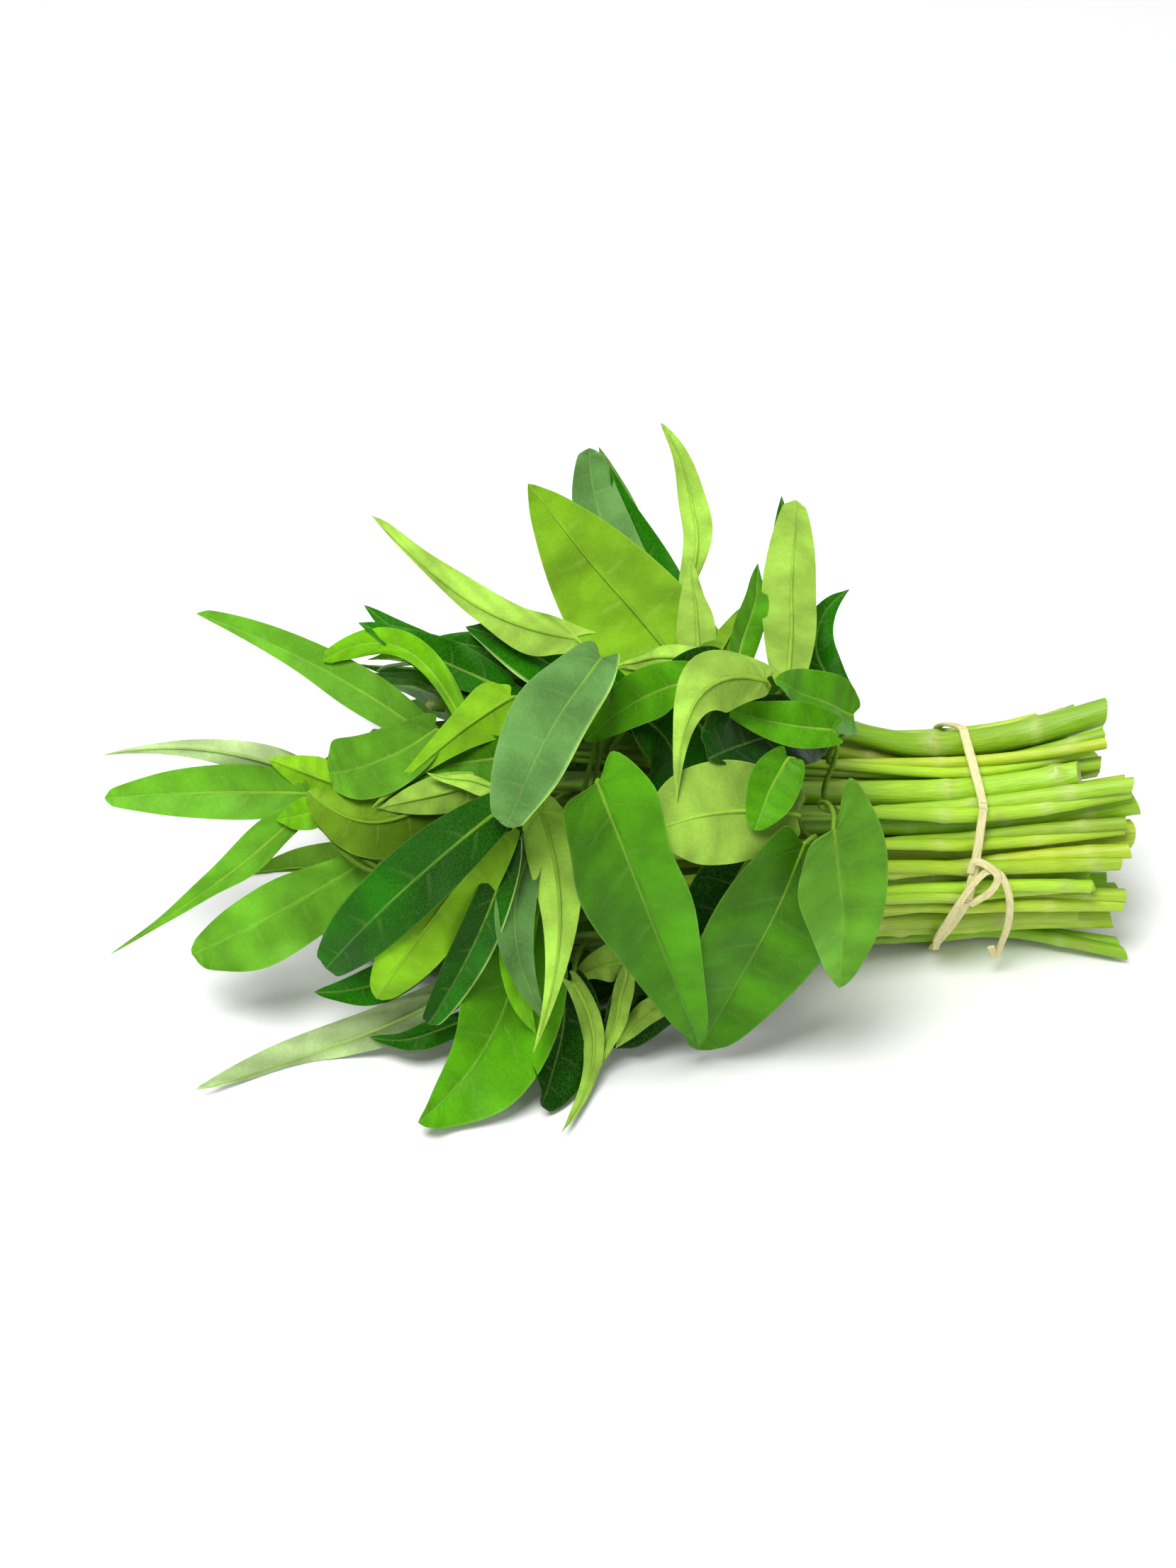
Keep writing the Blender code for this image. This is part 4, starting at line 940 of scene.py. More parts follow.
# Where a fine blade leaves the solid's middle line: how far its middle and its tip move, in the
# view's pixels to the right and down
NUDGES = {
    "end_hanging": ((6, 16), (0, 0)), "far_sabre": ((0, -3), (-4, -5)), "rear_hook": ((-2, -10), (0, 0)),
    "rear_spread": ((0, 14), (0, 0)), "rear_narrow": ((0, 6), (0, 0)), "rear_pale": ((0, 0), (6, 8)),
    "end_white": ((0, -8), (0, 0)), "skirt_large": ((-20, -4), (-2, -14)), "skirt_pale": ((-18, 0), (0, 0)),
    "low_silver": ((0, 12), (0, 0)), "crown_spear": ((6, 0), (0, 0)), "upright_pale": ((5, 0), (0, 0)),
    "shoulder_dark": ((-16, 0), (0, 0)), "crown_edge": ((-10, 6), (0, 0)),
    "heart_deep": ((0, -4), (-2, -30)), "mid_round": ((0, 8), (0, 4)), "skirt_blue": ((-12, 0), (0, 0)),
    "skirt_fold": ((-12, 0), (-10, -10)),
}
TAILED = ((-0.04, 0.5), (0.06, 0.88), (0.24, 1.0), (0.46, 0.56), (0.7, 0.22))
# Outlines that only the fine blades have: on the right hand and on the left, as in leaf()
FINE_FORMS = {
    "end_hanging": (TAILED, TAILED),
    "far_sabre": (ROUND, ((-0.05, 0.45), (0.12, 0.84), (0.34, 1.0), (0.6, 0.6), (0.88, 0.22))),
    "rear_pale": (OVAL, TAILED),
    "rear_hook": (BLUNT, ((-0.04, 0.3), (0.2, 0.4), (0.55, 0.6), (0.8, 0.8), (0.94, 0.5))),
    "mid_round": (((-0.05, 0.4), (0.2, 0.66), (0.6, 0.8), (0.85, 0.86), (0.95, 0.5)), BLUNT),
    "skirt_large": (SHEER, ((-0.04, 0.42), (0.14, 0.9), (0.42, 1.2), (0.72, 1.12), (0.92, 0.5))),
    "skirt_fold": (((-0.06, 0.46), (0.14, 0.95), (0.38, 1.2), (0.7, 1.2), (0.93, 0.7)), BLUNT),
    "heart_deep": (((-0.05, 0.5), (0.2, 0.9), (0.5, 1.15), (0.8, 1.1), (0.95, 0.7)), OVAL),
    "shoulder_curl": (
        ((-0.04, 0.4), (0.1, 0.85), (0.34, 1.15), (0.56, 0.62), (0.78, 0.28)),
        ((-0.04, 0.4), (0.1, 0.85), (0.34, 1.0), (0.56, 0.5), (0.78, 0.24)),
    ),
    "end_wavy": (
        ((-0.04, 0.3), (0.2, 0.5), (0.5, 0.9), (0.76, 0.8), (0.93, 0.45)),
        ((-0.04, 0.42), (0.14, 0.9), (0.42, 1.2), (0.7, 1.3), (0.92, 0.8)),
    ),
    "crown_spear": (
        ((-0.04, 0.3), (0.1, 0.5), (0.4, 1.2), (0.66, 1.0), (0.88, 0.45)),
        ((-0.04, 0.4), (0.1, 0.7), (0.4, 0.85), (0.66, 0.6), (0.88, 0.3)),
    ),
}
# A leaf deep in the bunch that closes a gap between the seen ones, and how far back it may go
BACKING_LEAF = leaf("heart_deep_high", TOP, (1150, 972), (1100, 985), (1035, 1000), 9, OVAL)
BACKING_PUSHES = [(-4 * MM * k, -4 * MM * k) for k in range(1, 18)]
# Blades with one rolled margin that shows the paler under side: which half, as in PAINTED_SHADES
ROLLED = {"front_grey": 2, "heart_dark": 2, "side_dark": 2, "rear_fan": 2}
ROLL_TINT = srgb(168, 210, 110)
STALK_TINT = srgb(140, 184, 50)
STEM_TINTS = (srgb(136, 176, 16), srgb(176, 206, 48))
# The leafy end's own darker green, deepened as painted shade among the leaves; also the painted shade at a
# shoot tip and in a cut end's hollow
STEM_SHADE_TINT = srgb(56, 98, 4)
NODE_TINT = srgb(206, 220, 130)
PITH_TINT = srgb(186, 204, 96)
STRIP_TINT = srgb(236, 230, 172)
VEIN_TINT = srgb(176, 212, 112)
SHEEN_TINT = srgb(206, 240, 170)
# What light that comes through a blade does to its tint
THROUGH_TINT = (1.35, 1.25, 0.5)
STEM_PATCH_TINT = srgb(120, 176, 40)
STEM_WORN_TINT = srgb(168, 152, 82)
SCAR_TINT = srgb(148, 132, 72)
FIBRE_GAP_TINT = srgb(186, 166, 104)
FLECK_TINT = srgb(150, 122, 70)

# Home: part.py moves the whole bunch so that its footprint's middle is the origin
raw_tie = [p for shape in (tie_ring(), *tie_strands()) for p in shape[0]]
HOME = Vector(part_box("tie")[0]) - Vector([min(p[k] for p in raw_tie) for k in range(3)])

# Fine blades: points between two knots of the margin, and columns from midrib to margin
BLADE_SPAN_STEPS = 6
BLADE_COLUMNS = 8
BLADE_SKIN = 0.17 * MM
# How much thinner a blade is at its margin than at its midrib
RIM_THINNING = 0.6
LATERAL_VEINS = 9
# How far towards the tip, as a share of the length left, a lateral vein runs on its way out
VEIN_ARCH = 0.14
STALK_STEPS = 14
STALK_SIDES = 8
STALK_SHARE = 0.8
RIB_STEPS = 14
STEM_STEP = 4.5 * MM
STEM_RING = 12
STEM_PLUMP = 0.3 * MM
# Where a strand has rings of points round a node, in mm from it
JOINT_RINGS = (-2.6, -1.3, 0.0, 1.3, 2.6)
# How far a node reaches along a strand, how far its scar reaches round it in radians, and how
# much wider each makes it
NODE_REACH = 2.4 * MM
SCAR_REACH = 0.5
NODE_SWELL = 0.07
SCAR_SWELL = 0.2
LEAST_STEP = 0.8 * MM
# A stem dressed as several thinner strands: the share of its radius that each has
STRAND_SHARES = {1: 1.0, 2: 0.56, 3: 0.46}
HOLLOW_DEPTH = 3 * MM
# Rings of a cut end, from its edge to the bottom of its hollow: share of the radius, depth, tint; the bottom
# ring's dark tint is painted shade in the hollow
CUT_RINGS = (
    (0.96, 0.0, PITH_TINT), (0.55, 0.1 * MM, PITH_TINT), (0.42, MM, PITH_TINT),
    (0.36, HOLLOW_DEPTH, STEM_SHADE_TINT),
)
# Points of the fine strip between two of the solid's, in the band and in its free end
BAND_STEPS = 3
STRAND_STEPS = 6
# Material slots of a stem's piece
STEM, LEAF_TOP, LEAF_UNDER = 0, 1, 2
# The mark of a place without veins, far from any midrib
PLAIN_MARK = (0.5, 9.0, 0.0, 0.0)


class Growth:
    """One piece's points and faces, and what its materials read at each point.

    A point's mark holds four numbers. On a blade: the count of veins passed, mm from the midrib,
    the share of the length and the share of the half width. On a stem or strip: mm along it, two
    numbers for the place round it, and how brown it is.
    """

    def __init__(self):
        self.points, self.faces, self.slots, self.tints, self.marks = [], [], [], [], []

    def point(self, place, tint, mark):
        self.points.append(place + HOME)
        self.tints.append((*tint, 1.0))
        self.marks.append(mark)
        return len(self.points) - 1

    def face(self, corners, slot=0):
        self.faces.append(corners)
        self.slots.append(slot)

    def ring_faces(self, first, second, slot=0):
        """Joins two rings of as many points."""
        for k in range(len(first)):
            after = (k + 1) % len(first)
            self.face((first[k], first[after], second[after], second[k]), slot)

    def build(self, name, materials):
        mesh = bpy.data.meshes.new(name)
        mesh.from_pydata([tuple(p) for p in self.points], [], self.faces)
        for key, values in (("tint", self.tints), ("mark", self.marks)):
            layer = mesh.attributes.new(key, "FLOAT_COLOR", "POINT")
            layer.data.foreach_set("color", np.array(values, dtype=np.float32).ravel())
        for entry in materials:
            mesh.materials.append(entry)
        mesh.polygons.foreach_set("material_index", np.array(self.slots, dtype=np.int32))
        work = bmesh.new()
        work.from_mesh(mesh)
        bmesh.ops.recalc_face_normals(work, faces=work.faces)
        work.to_mesh(mesh)
        work.free()
        mesh.shade_smooth()
        mesh.set_sharp_from_angle(angle=math.radians(50))
        made = bpy.data.objects.new(name, mesh)
        bpy.context.scene.collection.objects.link(made)
        return made


def margin(spec, side):
    """Places (t, s) along one half's margin, from the petiole round the lobe to the tip."""
    root = PETIOLE_RADIUS * 0.6 / spec["half_width"]
    hand = 0 if side == spec["side"] else 1
    form = FINE_FORMS[spec["name"]][hand] if spec["name"] in FINE_FORMS else spec["forms"][side]
    last_t, last_s = form[-1]
    blunt = 0.3 if last_s < 0.4 else 0.46
    near_tip = (last_t + (1 - last_t) * 0.75, last_s * blunt)
    knots = [(0.0, root, 0.0), *((t, s, 0.0) for t, s in (*form, near_tip)), (1.0, 0.0, 0.0)]
    return [(p.x, max(p.y, 0.0)) for p in smooth_line(knots, BLADE_SPAN_STEPS)]


def blade_tint(spec, look, face, side, share, w):
    """A blade's tint at a place: its tone, with painted shade at its foot and painted light and shade from
    half to half.
    """
    hand = 1 if side == spec["side"] else 2
    painted_shade_factors = (1.0, 1.0, 1.0) if "filler" in spec else PAINTED_SHADES.get(spec["name"], USUAL_PAINTED_SHADES)
    light = painted_shade_factors[hand] * (painted_shade_factors[0] + (1.06 - painted_shade_factors[0]) * min(1.0, share / 0.6))
    tint = tuple(v * light for v in look["top" if face > 0 else "under"])
    if ROLLED.get(spec["name"]) == hand and w > 0.99:
        return ROLL_TINT
    return tint


def blade_look(spec):
    """What makes a blade its own: tone, waves, quilting and curl, drawn from its name."""
    draw = random.Random(spec["name"])
    tone = TONES.get(spec["name"], DARK)
    light = draw.uniform(0.88, 1.12)
    # Filler leaves are painted darker as shade inside the bunch: the inner ones much darker, the back ones
    # and the backing leaf less
    if "filler" in spec:
        light = draw.uniform(0.15, 0.5) if spec["name"].startswith("inner") else draw.uniform(0.5, 0.95)
        tone = Tone(*(mix(dark, mid, draw.random() * 0.7) for dark, mid in zip(DARK, MID)))
    length = (spec["points"][2] - spec["points"][0]).length
    return {
        "swell": draw.uniform(0.6, 1.6) * MM,
        "swells": draw.uniform(0.8, 1.5),
        "swell_turn": draw.uniform(0, math.tau),
        "tip_bend": draw.uniform(-0.06, 0.02) * length,
        "folds": (draw.uniform(-0.08, 0.2), draw.uniform(-0.08, 0.2)),
        "top": tuple(v * light for v in tone.top),
        "under": tuple(v * light for v in tone.under),
        "wave": WAVES.get(spec["name"], USUAL_WAVE) * MM * draw.uniform(0.7, 1.3),
        "waves": draw.uniform(2.0, 4.0),
        "turns": (draw.uniform(0, math.tau), draw.uniform(0, math.tau)),
        "quilt": draw.uniform(0.25, 0.45) * MM,
        "curl": draw.uniform(-0.06, 0.1),
        "offset": draw.uniform(0.2, 0.8),
        "nudge": NUDGES.get(spec["name"], ()),
    }


def fine_place(spec, look, t, aside):
    """A point of the fine blade's middle: the solid's, with swells, a bent tip and uneven folds."""
    place, normal = blade_place(spec, t, aside)
    share = clamp(t, 0, 1)
    middling = 4 * share * (1 - share)
    swell = look["swell"] * math.sin(math.tau * look["swells"] * share + look["swell_turn"]) * middling
    fold = abs(aside) * look["folds"][0 if aside > 0 else 1] * math.sin(math.pi * (0.15 + 0.85 * share))
    for (right, down), weight in zip(look["nudge"], (middling, share**2)):
        place = place + (RIGHT * right - UP * down) * (PIXEL * weight)
    return place + normal * (swell + look["tip_bend"] * share**3 + fold), normal


def blade_sheet(growth, spec, look, rims, face, side, midrib):
    """Rows of points over one half of one face, each from the midrib to the margin."""
    half, last = spec["half_width"], len(rims[side]) - 1
    turn = look["turns"][0 if side > 0 else 1]
    sheet = []
    for i, (rim_t, rim_s) in enumerate(rims[side][:-1]):
        along = i / last
        rib_t = max(along * 0.03, rims[1][i][0] - VEIN_ARCH * (1 - rims[1][i][0]))
        veins = LATERAL_VEINS * along + (look["offset"] if side > 0 else 0)
        row = midrib[i:i + 1]
        for j in range(len(row), BLADE_COLUMNS + 1):
            w = j / BLADE_COLUMNS
            t = rib_t + (rim_t - rib_t) * w**1.5
            place, normal = fine_place(spec, look, t, side * rim_s * w * half)
            quilt = look["quilt"] * (0.5 - 0.5 * math.cos(math.tau * veins)) * 4 * w * (1 - w)
            wave = look["wave"] * w**2 * math.sin(math.tau * look["waves"] * along + turn)
            lift = (quilt + wave + look["curl"] * half * w**3) * min(1.0, rim_s * 1.6)
            place = place + normal * (lift + face * BLADE_SKIN * (1 - RIM_THINNING * w**4))
            place.z = max(place.z, FLOOR_CLEARANCE + face * BLADE_SKIN)
            share = clamp(t, 0, 1)
            mark = (veins, rim_s * w * half / MM, share, w)
            row.append(growth.point(place, blade_tint(spec, look, face, side, share, w), mark))
        sheet.append(row)
    return sheet


def close_blade(growth, sheets, tip):
    """Joins the blade's four sheets at the tip, along the margin and at the foot."""
    for side in (1, -1):
        top, under = sheets[1, side], sheets[-1, side]
        for sheet, slot in ((top, LEAF_TOP), (under, LEAF_UNDER)):
            for j in range(BLADE_COLUMNS):
                growth.face((sheet[-1][j], tip, sheet[-1][j + 1]), slot)
        for k in range(len(top) - 1):
            growth.face((top[k][-1], top[k + 1][-1], under[k + 1][-1], under[k][-1]), LEAF_UNDER)
        growth.face((top[-1][-1], tip, under[-1][-1]), LEAF_UNDER)
        for j in range(BLADE_COLUMNS):
            growth.face((top[0][j], top[0][j + 1], under[0][j + 1], under[0][j]), LEAF_UNDER)


def add_blade(growth, spec):
    """A thin closed blade with arched veins, a waved margin and a raised rim of its own tint."""
    look = blade_look(spec)
    rims = {side: margin(spec, side) for side in (1, -1)}
    sheets = {}
    for face, slot in ((1, LEAF_TOP), (-1, LEAF_UNDER)):
        midrib = []
        for side in (1, -1):
            sheet = blade_sheet(growth, spec, look, rims, face, side, midrib)
            midrib = [row[0] for row in sheet]
            sheets[face, side] = sheet
            for row, after in zip(sheet, sheet[1:]):
                for j in range(BLADE_COLUMNS):
                    growth.face((row[j], after[j], after[j + 1], row[j + 1]), slot)
    tip = growth.point(fine_place(spec, look, 1, 0)[0], look["top"], (0.5, 0.0, 1.0, 0.0))
    close_blade(growth, sheets, tip)


def add_tube(growth, path, radii, tints):
    """A closed round stalk along a path."""
    rings = []
    turn = (path[1] - path[0]).to_track_quat("Z", "Y")
    for k, centre in enumerate(path):
        ahead = (path[min(k + 1, len(path) - 1)] - path[max(k - 1, 0)]).normalized()
        turn = (turn @ Vector((0, 0, 1))).rotation_difference(ahead) @ turn
        ring = []
        for side in range(STALK_SIDES):
            angle = math.tau * side / STALK_SIDES
            spoke = Vector((math.cos(angle), math.sin(angle), 0)) * radii[k]
            ring.append(growth.point(centre + turn @ spoke, tints[k], PLAIN_MARK))
        rings.append(ring)
    for first, second in zip(rings, rings[1:]):
        growth.ring_faces(first, second, LEAF_UNDER)
    growth.face(tuple(rings[0][::-1]), LEAF_UNDER)
    growth.face(tuple(rings[-1]), LEAF_UNDER)


def fine_petiole(spec):
    """The stalk's path: it leaves the stem as the solid's does, and meets the blade from behind."""
    (start, start_ahead), (base, bend, _) = spec["grip"], spec["points"]
    span = (base - start).length
    inward, arrive = (start - base).normalized(), (bend - base).normalized()
    lead = start + start_ahead * span * STALK_LEAD
    trail = base + (inward * 0.8 - arrive * 0.4).normalized() * span * STALK_TRAIL
    return stalk_curve(start, lead, trail, base, STALK_STEPS, PETIOLE_RADIUS)


def add_stalk_and_rib(growth, spec):
    """The petiole, running on under the blade as its midrib and thinning out to the tip."""
    path = fine_petiole(spec)
    radii = [STALK_SHARE * radius for radius in petiole_radii(len(path))]
    look = blade_look(spec)
    for k in range(1, RIB_STEPS):
        t = k / RIB_STEPS
        place, normal = fine_place(spec, look, t, 0)
        radius = PETIOLE_RADIUS * (0.58 * (1 - t) ** 0.8 + 0.08)
        place.z = max(place.z, FLOOR_CLEARANCE + radius)
        path.append(place - normal * (radius * 0.5 * min(1, t * 5)))
        radii.append(radius)
    rib_tint = mix(STALK_TINT, look["under"], 0.5)
    # The stalk is painted darker towards the stem, less than half as light where it leaves it, as shade deep
    # in the bunch
    shaded_stalk_tint = tuple(v * 0.45 for v in rib_tint)
    tints = [mix(shaded_stalk_tint, rib_tint, clamp(k / STALK_STEPS, 0, 1) ** 2) for k in range(len(path))]
    add_tube(growth, path, radii, tints)


def add_stem(growth, shape, number):
    """A stem, or two or three thinner strands wound loosely round each other in its room."""
    draw = random.Random(SEED * 50 + number)
    count = draw.choice((1, 1, 2, 2, 3))
    start = draw.uniform(0, math.tau)
    for strand in range(count):
        add_strand(growth, shape, draw, count, start + math.tau * strand / count)


def strand_middle(shape, x, count, turn):
    """Where a strand's middle is at x: beside the stem's own where there are several."""
    aside = stem_radius(shape, x) * (1 - STRAND_SHARES[count])
    angle = turn + x / (34 * MM)
    return stem_centre(shape, x) + Vector((0, math.cos(angle), math.sin(angle))) * aside


def strand_places(cut, tip, joints):
    """x of each ring from the cut end to the shoot tip, closer together at the joints."""
    steps = int((cut - tip) / STEM_STEP)
    places = [cut + (tip - cut) * k / steps for k in range(steps + 1)]
    places += [joint[0] + offset * MM for joint in joints for offset in JOINT_RINGS]
    kept = [cut]
    for x in sorted(places, reverse=True):
        if tip <= x < kept[-1] - LEAST_STEP:
            kept.append(x)
    return kept


def draw_joints(draw, cut, tip):
    """The nodes of a strand: x of each, the angle of its leaf scar and how large it is."""
    joints = []
    x = cut - draw.uniform(8, 32) * MM
    while x > tip:
        joints.append((x, draw.uniform(0, math.tau), draw.uniform(0.5, 1.0)))
        x -= draw.uniform(26, 46) * MM
    return joints


def node_shape(x, angle, joints):
    """How much the nodes widen a strand at a place, and how brown and how pale they make it."""
    wider, brown, pale = 1.0, 0.0, 0.0
    for place, scar, size in joints:
        near = math.exp(-(((x - place) / NODE_REACH) ** 2))
        aside = math.exp(-((math.remainder(angle - scar, math.tau) / SCAR_REACH) ** 2))
        wider *= 1 + near * (NODE_SWELL + SCAR_SWELL * aside * size)
        brown = max(brown, near * (0.2 + 0.8 * aside) * size)
        pale = max(pale, near * size)
    return wider, brown, pale


def add_strand(growth, shape, draw, count, turn):
    """One strand with nodes, leaf scars and a hollow cut end, drawn out to its shoot tip."""
    tint = mix(*STEM_TINTS, draw.random())
    tint = tuple(v * draw.uniform(0.85, 1.15) for v in tint)
    share = STRAND_SHARES[count]
    cut = shape["cut"] - (draw.uniform(0, 9) * MM if count > 1 else 0)
    joints = draw_joints(draw, cut, shape["tip"])
    slant = (draw.uniform(-0.3, 0.3), draw.uniform(-0.3, 0.3))
    ribs = draw.uniform(0, math.tau)
    rings = []
    for x in strand_places(cut, shape["tip"], joints):
        leafward = clamp((TIE_X - x) / (TIE_X - shape["tip"]), 0, 1)
        centre = strand_middle(shape, x, count, turn)
        ring = []
        for side in range(STEM_RING):
            angle = math.tau * side / STEM_RING
            radius = share * (stem_radius(shape, x) + STEM_PLUMP * (1 - leafward))
            radius *= 1 + 0.03 * math.sin(angle * 5 + ribs)
            wider, brown, pale = node_shape(x, angle, joints)
            spoke = Vector((0, math.cos(angle), math.sin(angle))) * (radius * wider)
            place = centre + spoke
            if not rings:
                place.x += slant[0] * spoke.y + slant[1] * spoke.z
            mark = (x / MM, math.cos(angle), math.sin(angle), brown)
            # Towards the leafy end the strand takes the painted shade of the leaves around it
            here = mix(mix(tint, NODE_TINT, pale * 0.5), STEM_SHADE_TINT, leafward)
            ring.append(growth.point(place, here, mark))
        rings.append(ring)
    for first, second in zip(rings, rings[1:]):
        growth.ring_faces(first, second, STEM)
    tip = strand_middle(shape, shape["tip"], count, turn)
    ahead = (tip - strand_middle(shape, shape["tip"] + 4 * MM, count, turn)).normalized()
    end = growth.point(tip + ahead * stem_radius(shape, shape["tip"]) * share, STEM_SHADE_TINT, (0, 0, 0, 0))
    for side in range(STEM_RING):
        growth.face((rings[-1][side], rings[-1][(side + 1) % STEM_RING], end), STEM)
    radius = stem_radius(shape, cut) * share
    add_cut_end(growth, strand_middle(shape, cut, count, turn), radius, rings[0], slant)


def add_cut_end(growth, centre, radius, outer, slant):
    """The wall and the hollow that the cut shows."""
    rings = [outer]
    for share, depth, tint in CUT_RINGS:
        ring = []
        for side in range(STEM_RING):
            angle = math.tau * side / STEM_RING
            spoke = Vector((0, math.cos(angle), math.sin(angle))) * radius * share
            place = centre + spoke + Vector((slant[0] * spoke.y + slant[1] * spoke.z - depth, 0, 0))
            ring.append(growth.point(place, tint, (0, math.cos(angle), math.sin(angle), 0.0)))
        growth.ring_faces(rings[-1], ring, STEM)
        rings.append(ring)
    growth.face(tuple(rings[-1]), STEM)


# The strip's section: across from -1 to 1, and out from 0 to 1, with two shallow grooves outside.
STRIP_SECTION = (
    (-1.0, 0.35), (-0.93, 0.8), (-0.7, 1.0), (-0.33, 0.9), (0.0, 1.0), (0.33, 0.88), (0.7, 1.0),
    (0.93, 0.8), (1.0, 0.35), (0.85, 0.0), (-0.85, 0.0),
)


def add_strip(growth, path, outwards, width, closed):
    """A flat fibrous strip along a path that its inner face follows."""
    count = len(path)
    rings, along = [], 0.0
    for k, centre in enumerate(path):
        if closed:
            ahead = (path[(k + 1) % count] - path[k - 1]).normalized()
        else:
            ahead = (path[min(k + 1, count - 1)] - path[max(k - 1, 0)]).normalized()
        normal = (outwards[k] - ahead * outwards[k].dot(ahead)).normalized()
        across = ahead.cross(normal)
        along += (centre - path[k - 1]).length if k else 0.0
        breadth = width * (1 + 0.06 * math.sin(along / (9 * MM)))
        ring = []
        for a, b in STRIP_SECTION:
            place = centre + across * (a * breadth / 2) + normal * (b * TIE_THICKNESS)
            ring.append(growth.point(place, STRIP_TINT, (along / MM, a, b, 0.0)))
        rings.append(ring)
    for first, second in zip(rings, rings[1:]):
        growth.ring_faces(first, second)
    if closed:
        growth.ring_faces(rings[-1], rings[0])
    else:
        growth.face(tuple(rings[0]))
        growth.face(tuple(rings[-1]))


def add_tie(growth):
    """The band, its hitch and its free end."""
    path = tie_path()
    normals = tie_normals(path)
    band, outwards = [], []
    for (across, up), (normal_across, normal_up) in zip(path, normals):
        band.append(Vector((tie_x(across, up), across, AXIS_HEIGHT + up)))
        outwards.append(Vector((0, normal_across, normal_up)))
    fine = smooth_line([band[-1], *band, band[0], band[1]], BAND_STEPS)[BAND_STEPS:-2 * BAND_STEPS]
    fine_out = []
    for k in range(len(fine)):
        here = k // BAND_STEPS
        after = (here + 1) % len(band)
        fine_out.append(outwards[here].lerp(outwards[after], k % BAND_STEPS / BAND_STEPS))
    add_strip(growth, fine, fine_out, TIE_WIDTH, closed=True)
    middle = axis(TIE_X)
    for knots in (TAIL, HITCH):
        line = strand_line(knots, STRAND_STEPS)
        outs = [Vector((0, p.y - middle.y, p.z - middle.z)).normalized() for p in line]
        line = [p - out * TIE_THICKNESS / 2 for p, out in zip(line, outs)]
        add_strip(growth, line, outs, STRAND_WIDTH, closed=False)


# Materials


class Nodes:
    """Short ways to add and join a material's nodes."""

    def __init__(self, name):
        self.material = bpy.data.materials.new(name)
        self.material.use_nodes = True
        self.tree = self.material.node_tree
        self.shader = self.tree.nodes["Principled BSDF"]
        self.output = self.tree.nodes["Material Output"]

    def add(self, kind, inputs=(), **settings):
        node = self.tree.nodes.new(kind)
        for key, value in settings.items():
            setattr(node, key, value)
        for key, value in dict(inputs).items():
            self.set(node.inputs[key], value)
        return node

    def set(self, socket, value):
        if isinstance(value, bpy.types.NodeSocket):
            self.tree.links.new(value, socket)
        else:
            socket.default_value = value

    def math(self, operation, first, second=0.0, third=0.0):
        inputs = {0: first, 1: second, 2: third}
        return self.add("ShaderNodeMath", inputs, operation=operation).outputs[0]

    def range(self, value, low, high, to_low=0.0, to_high=1.0):
        inputs = {"Value": value, "From Min": low, "From Max": high, "To Min": to_low, "To Max": to_high}
        return self.add("ShaderNodeMapRange", inputs, interpolation_type="SMOOTHSTEP").outputs["Result"]

    def blend(self, share, first, second, kind="MIX"):
        node = self.add("ShaderNodeMix", data_type="RGBA", blend_type=kind)
        self.set(node.inputs["Factor"], share)
        self.set(node.inputs[6], first)
        self.set(node.inputs[7], second)
        return node.outputs[2]

    def noise(self, vector, scale, detail=3.0):
        inputs = {"Vector": vector, "Scale": scale, "Detail": detail}
        return self.add("ShaderNodeTexNoise", inputs).outputs["Fac"]

    def shaded(self, tint, shade):
        """The tint, made lighter or darker by a number that varies from place to place."""
        grey = self.add("ShaderNodeCombineXYZ", {0: shade, 1: shade, 2: shade}).outputs[0]
        return self.blend(1.0, tint, grey, "MULTIPLY")

    def bump(self, height, distance, strength):
        inputs = {"Height": height, "Distance": distance, "Strength": strength}
        return self.add("ShaderNodeBump", inputs).outputs["Normal"]

    def painted(self):
        """The tint and the four numbers of the mark at each point, and the point itself."""
        tint = self.add("ShaderNodeAttribute", attribute_name="tint").outputs["Color"]
        mark = self.add("ShaderNodeAttribute", attribute_name="mark")
        parts = self.add("ShaderNodeSeparateXYZ", {"Vector": mark.outputs["Vector"]})
        where = self.add("ShaderNodeTexCoord").outputs["Object"]
        return tint, (*parts.outputs[:3], mark.outputs["Alpha"]), where

    def lengthwise(self, mark, share):
        """Places for a noise that is drawn out along a stem or strip."""
        along = self.math("MULTIPLY", mark[0], share)
        return self.add("ShaderNodeCombineXYZ", {0: along, 1: mark[1], 2: mark[2]}).outputs[0]

    def dress(self, colour, rough, normal, shine):
        """Sets what the surface looks like."""
        self.set(self.shader.inputs["Base Color"], colour)
        self.set(self.shader.inputs["Normal"], normal)
        self.set(self.shader.inputs["Roughness"], rough)
        self.shader.inputs["Specular IOR Level"].default_value = shine


def leaf_veins(n, mark, where):
    """Where the lateral veins and the midrib are, and how near a place is to a vein's line."""
    veins, aside, along, breadth = mark
    wobble = n.math("MULTIPLY", n.math("SUBTRACT", n.noise(where, 90.0), 0.5), 0.06)
    shifted = n.math("ADD", veins, wobble)
    apart = n.math("ABSOLUTE", n.math("SUBTRACT", n.math("FRACT", shifted), 0.5))
    lateral = n.range(n.math("SUBTRACT", 0.5, apart), 0.0, 0.07, 1.0, 0.0)
    lateral = n.math("MULTIPLY", lateral, n.range(breadth, 0.1, 1.0, 1.0, 0.0))
    rib_width = n.math("MULTIPLY_ADD", along, -0.35, 0.75)
    rib = n.range(n.math("DIVIDE", aside, rib_width), 0.45, 1.25, 1.0, 0.0)
    return lateral, rib, apart


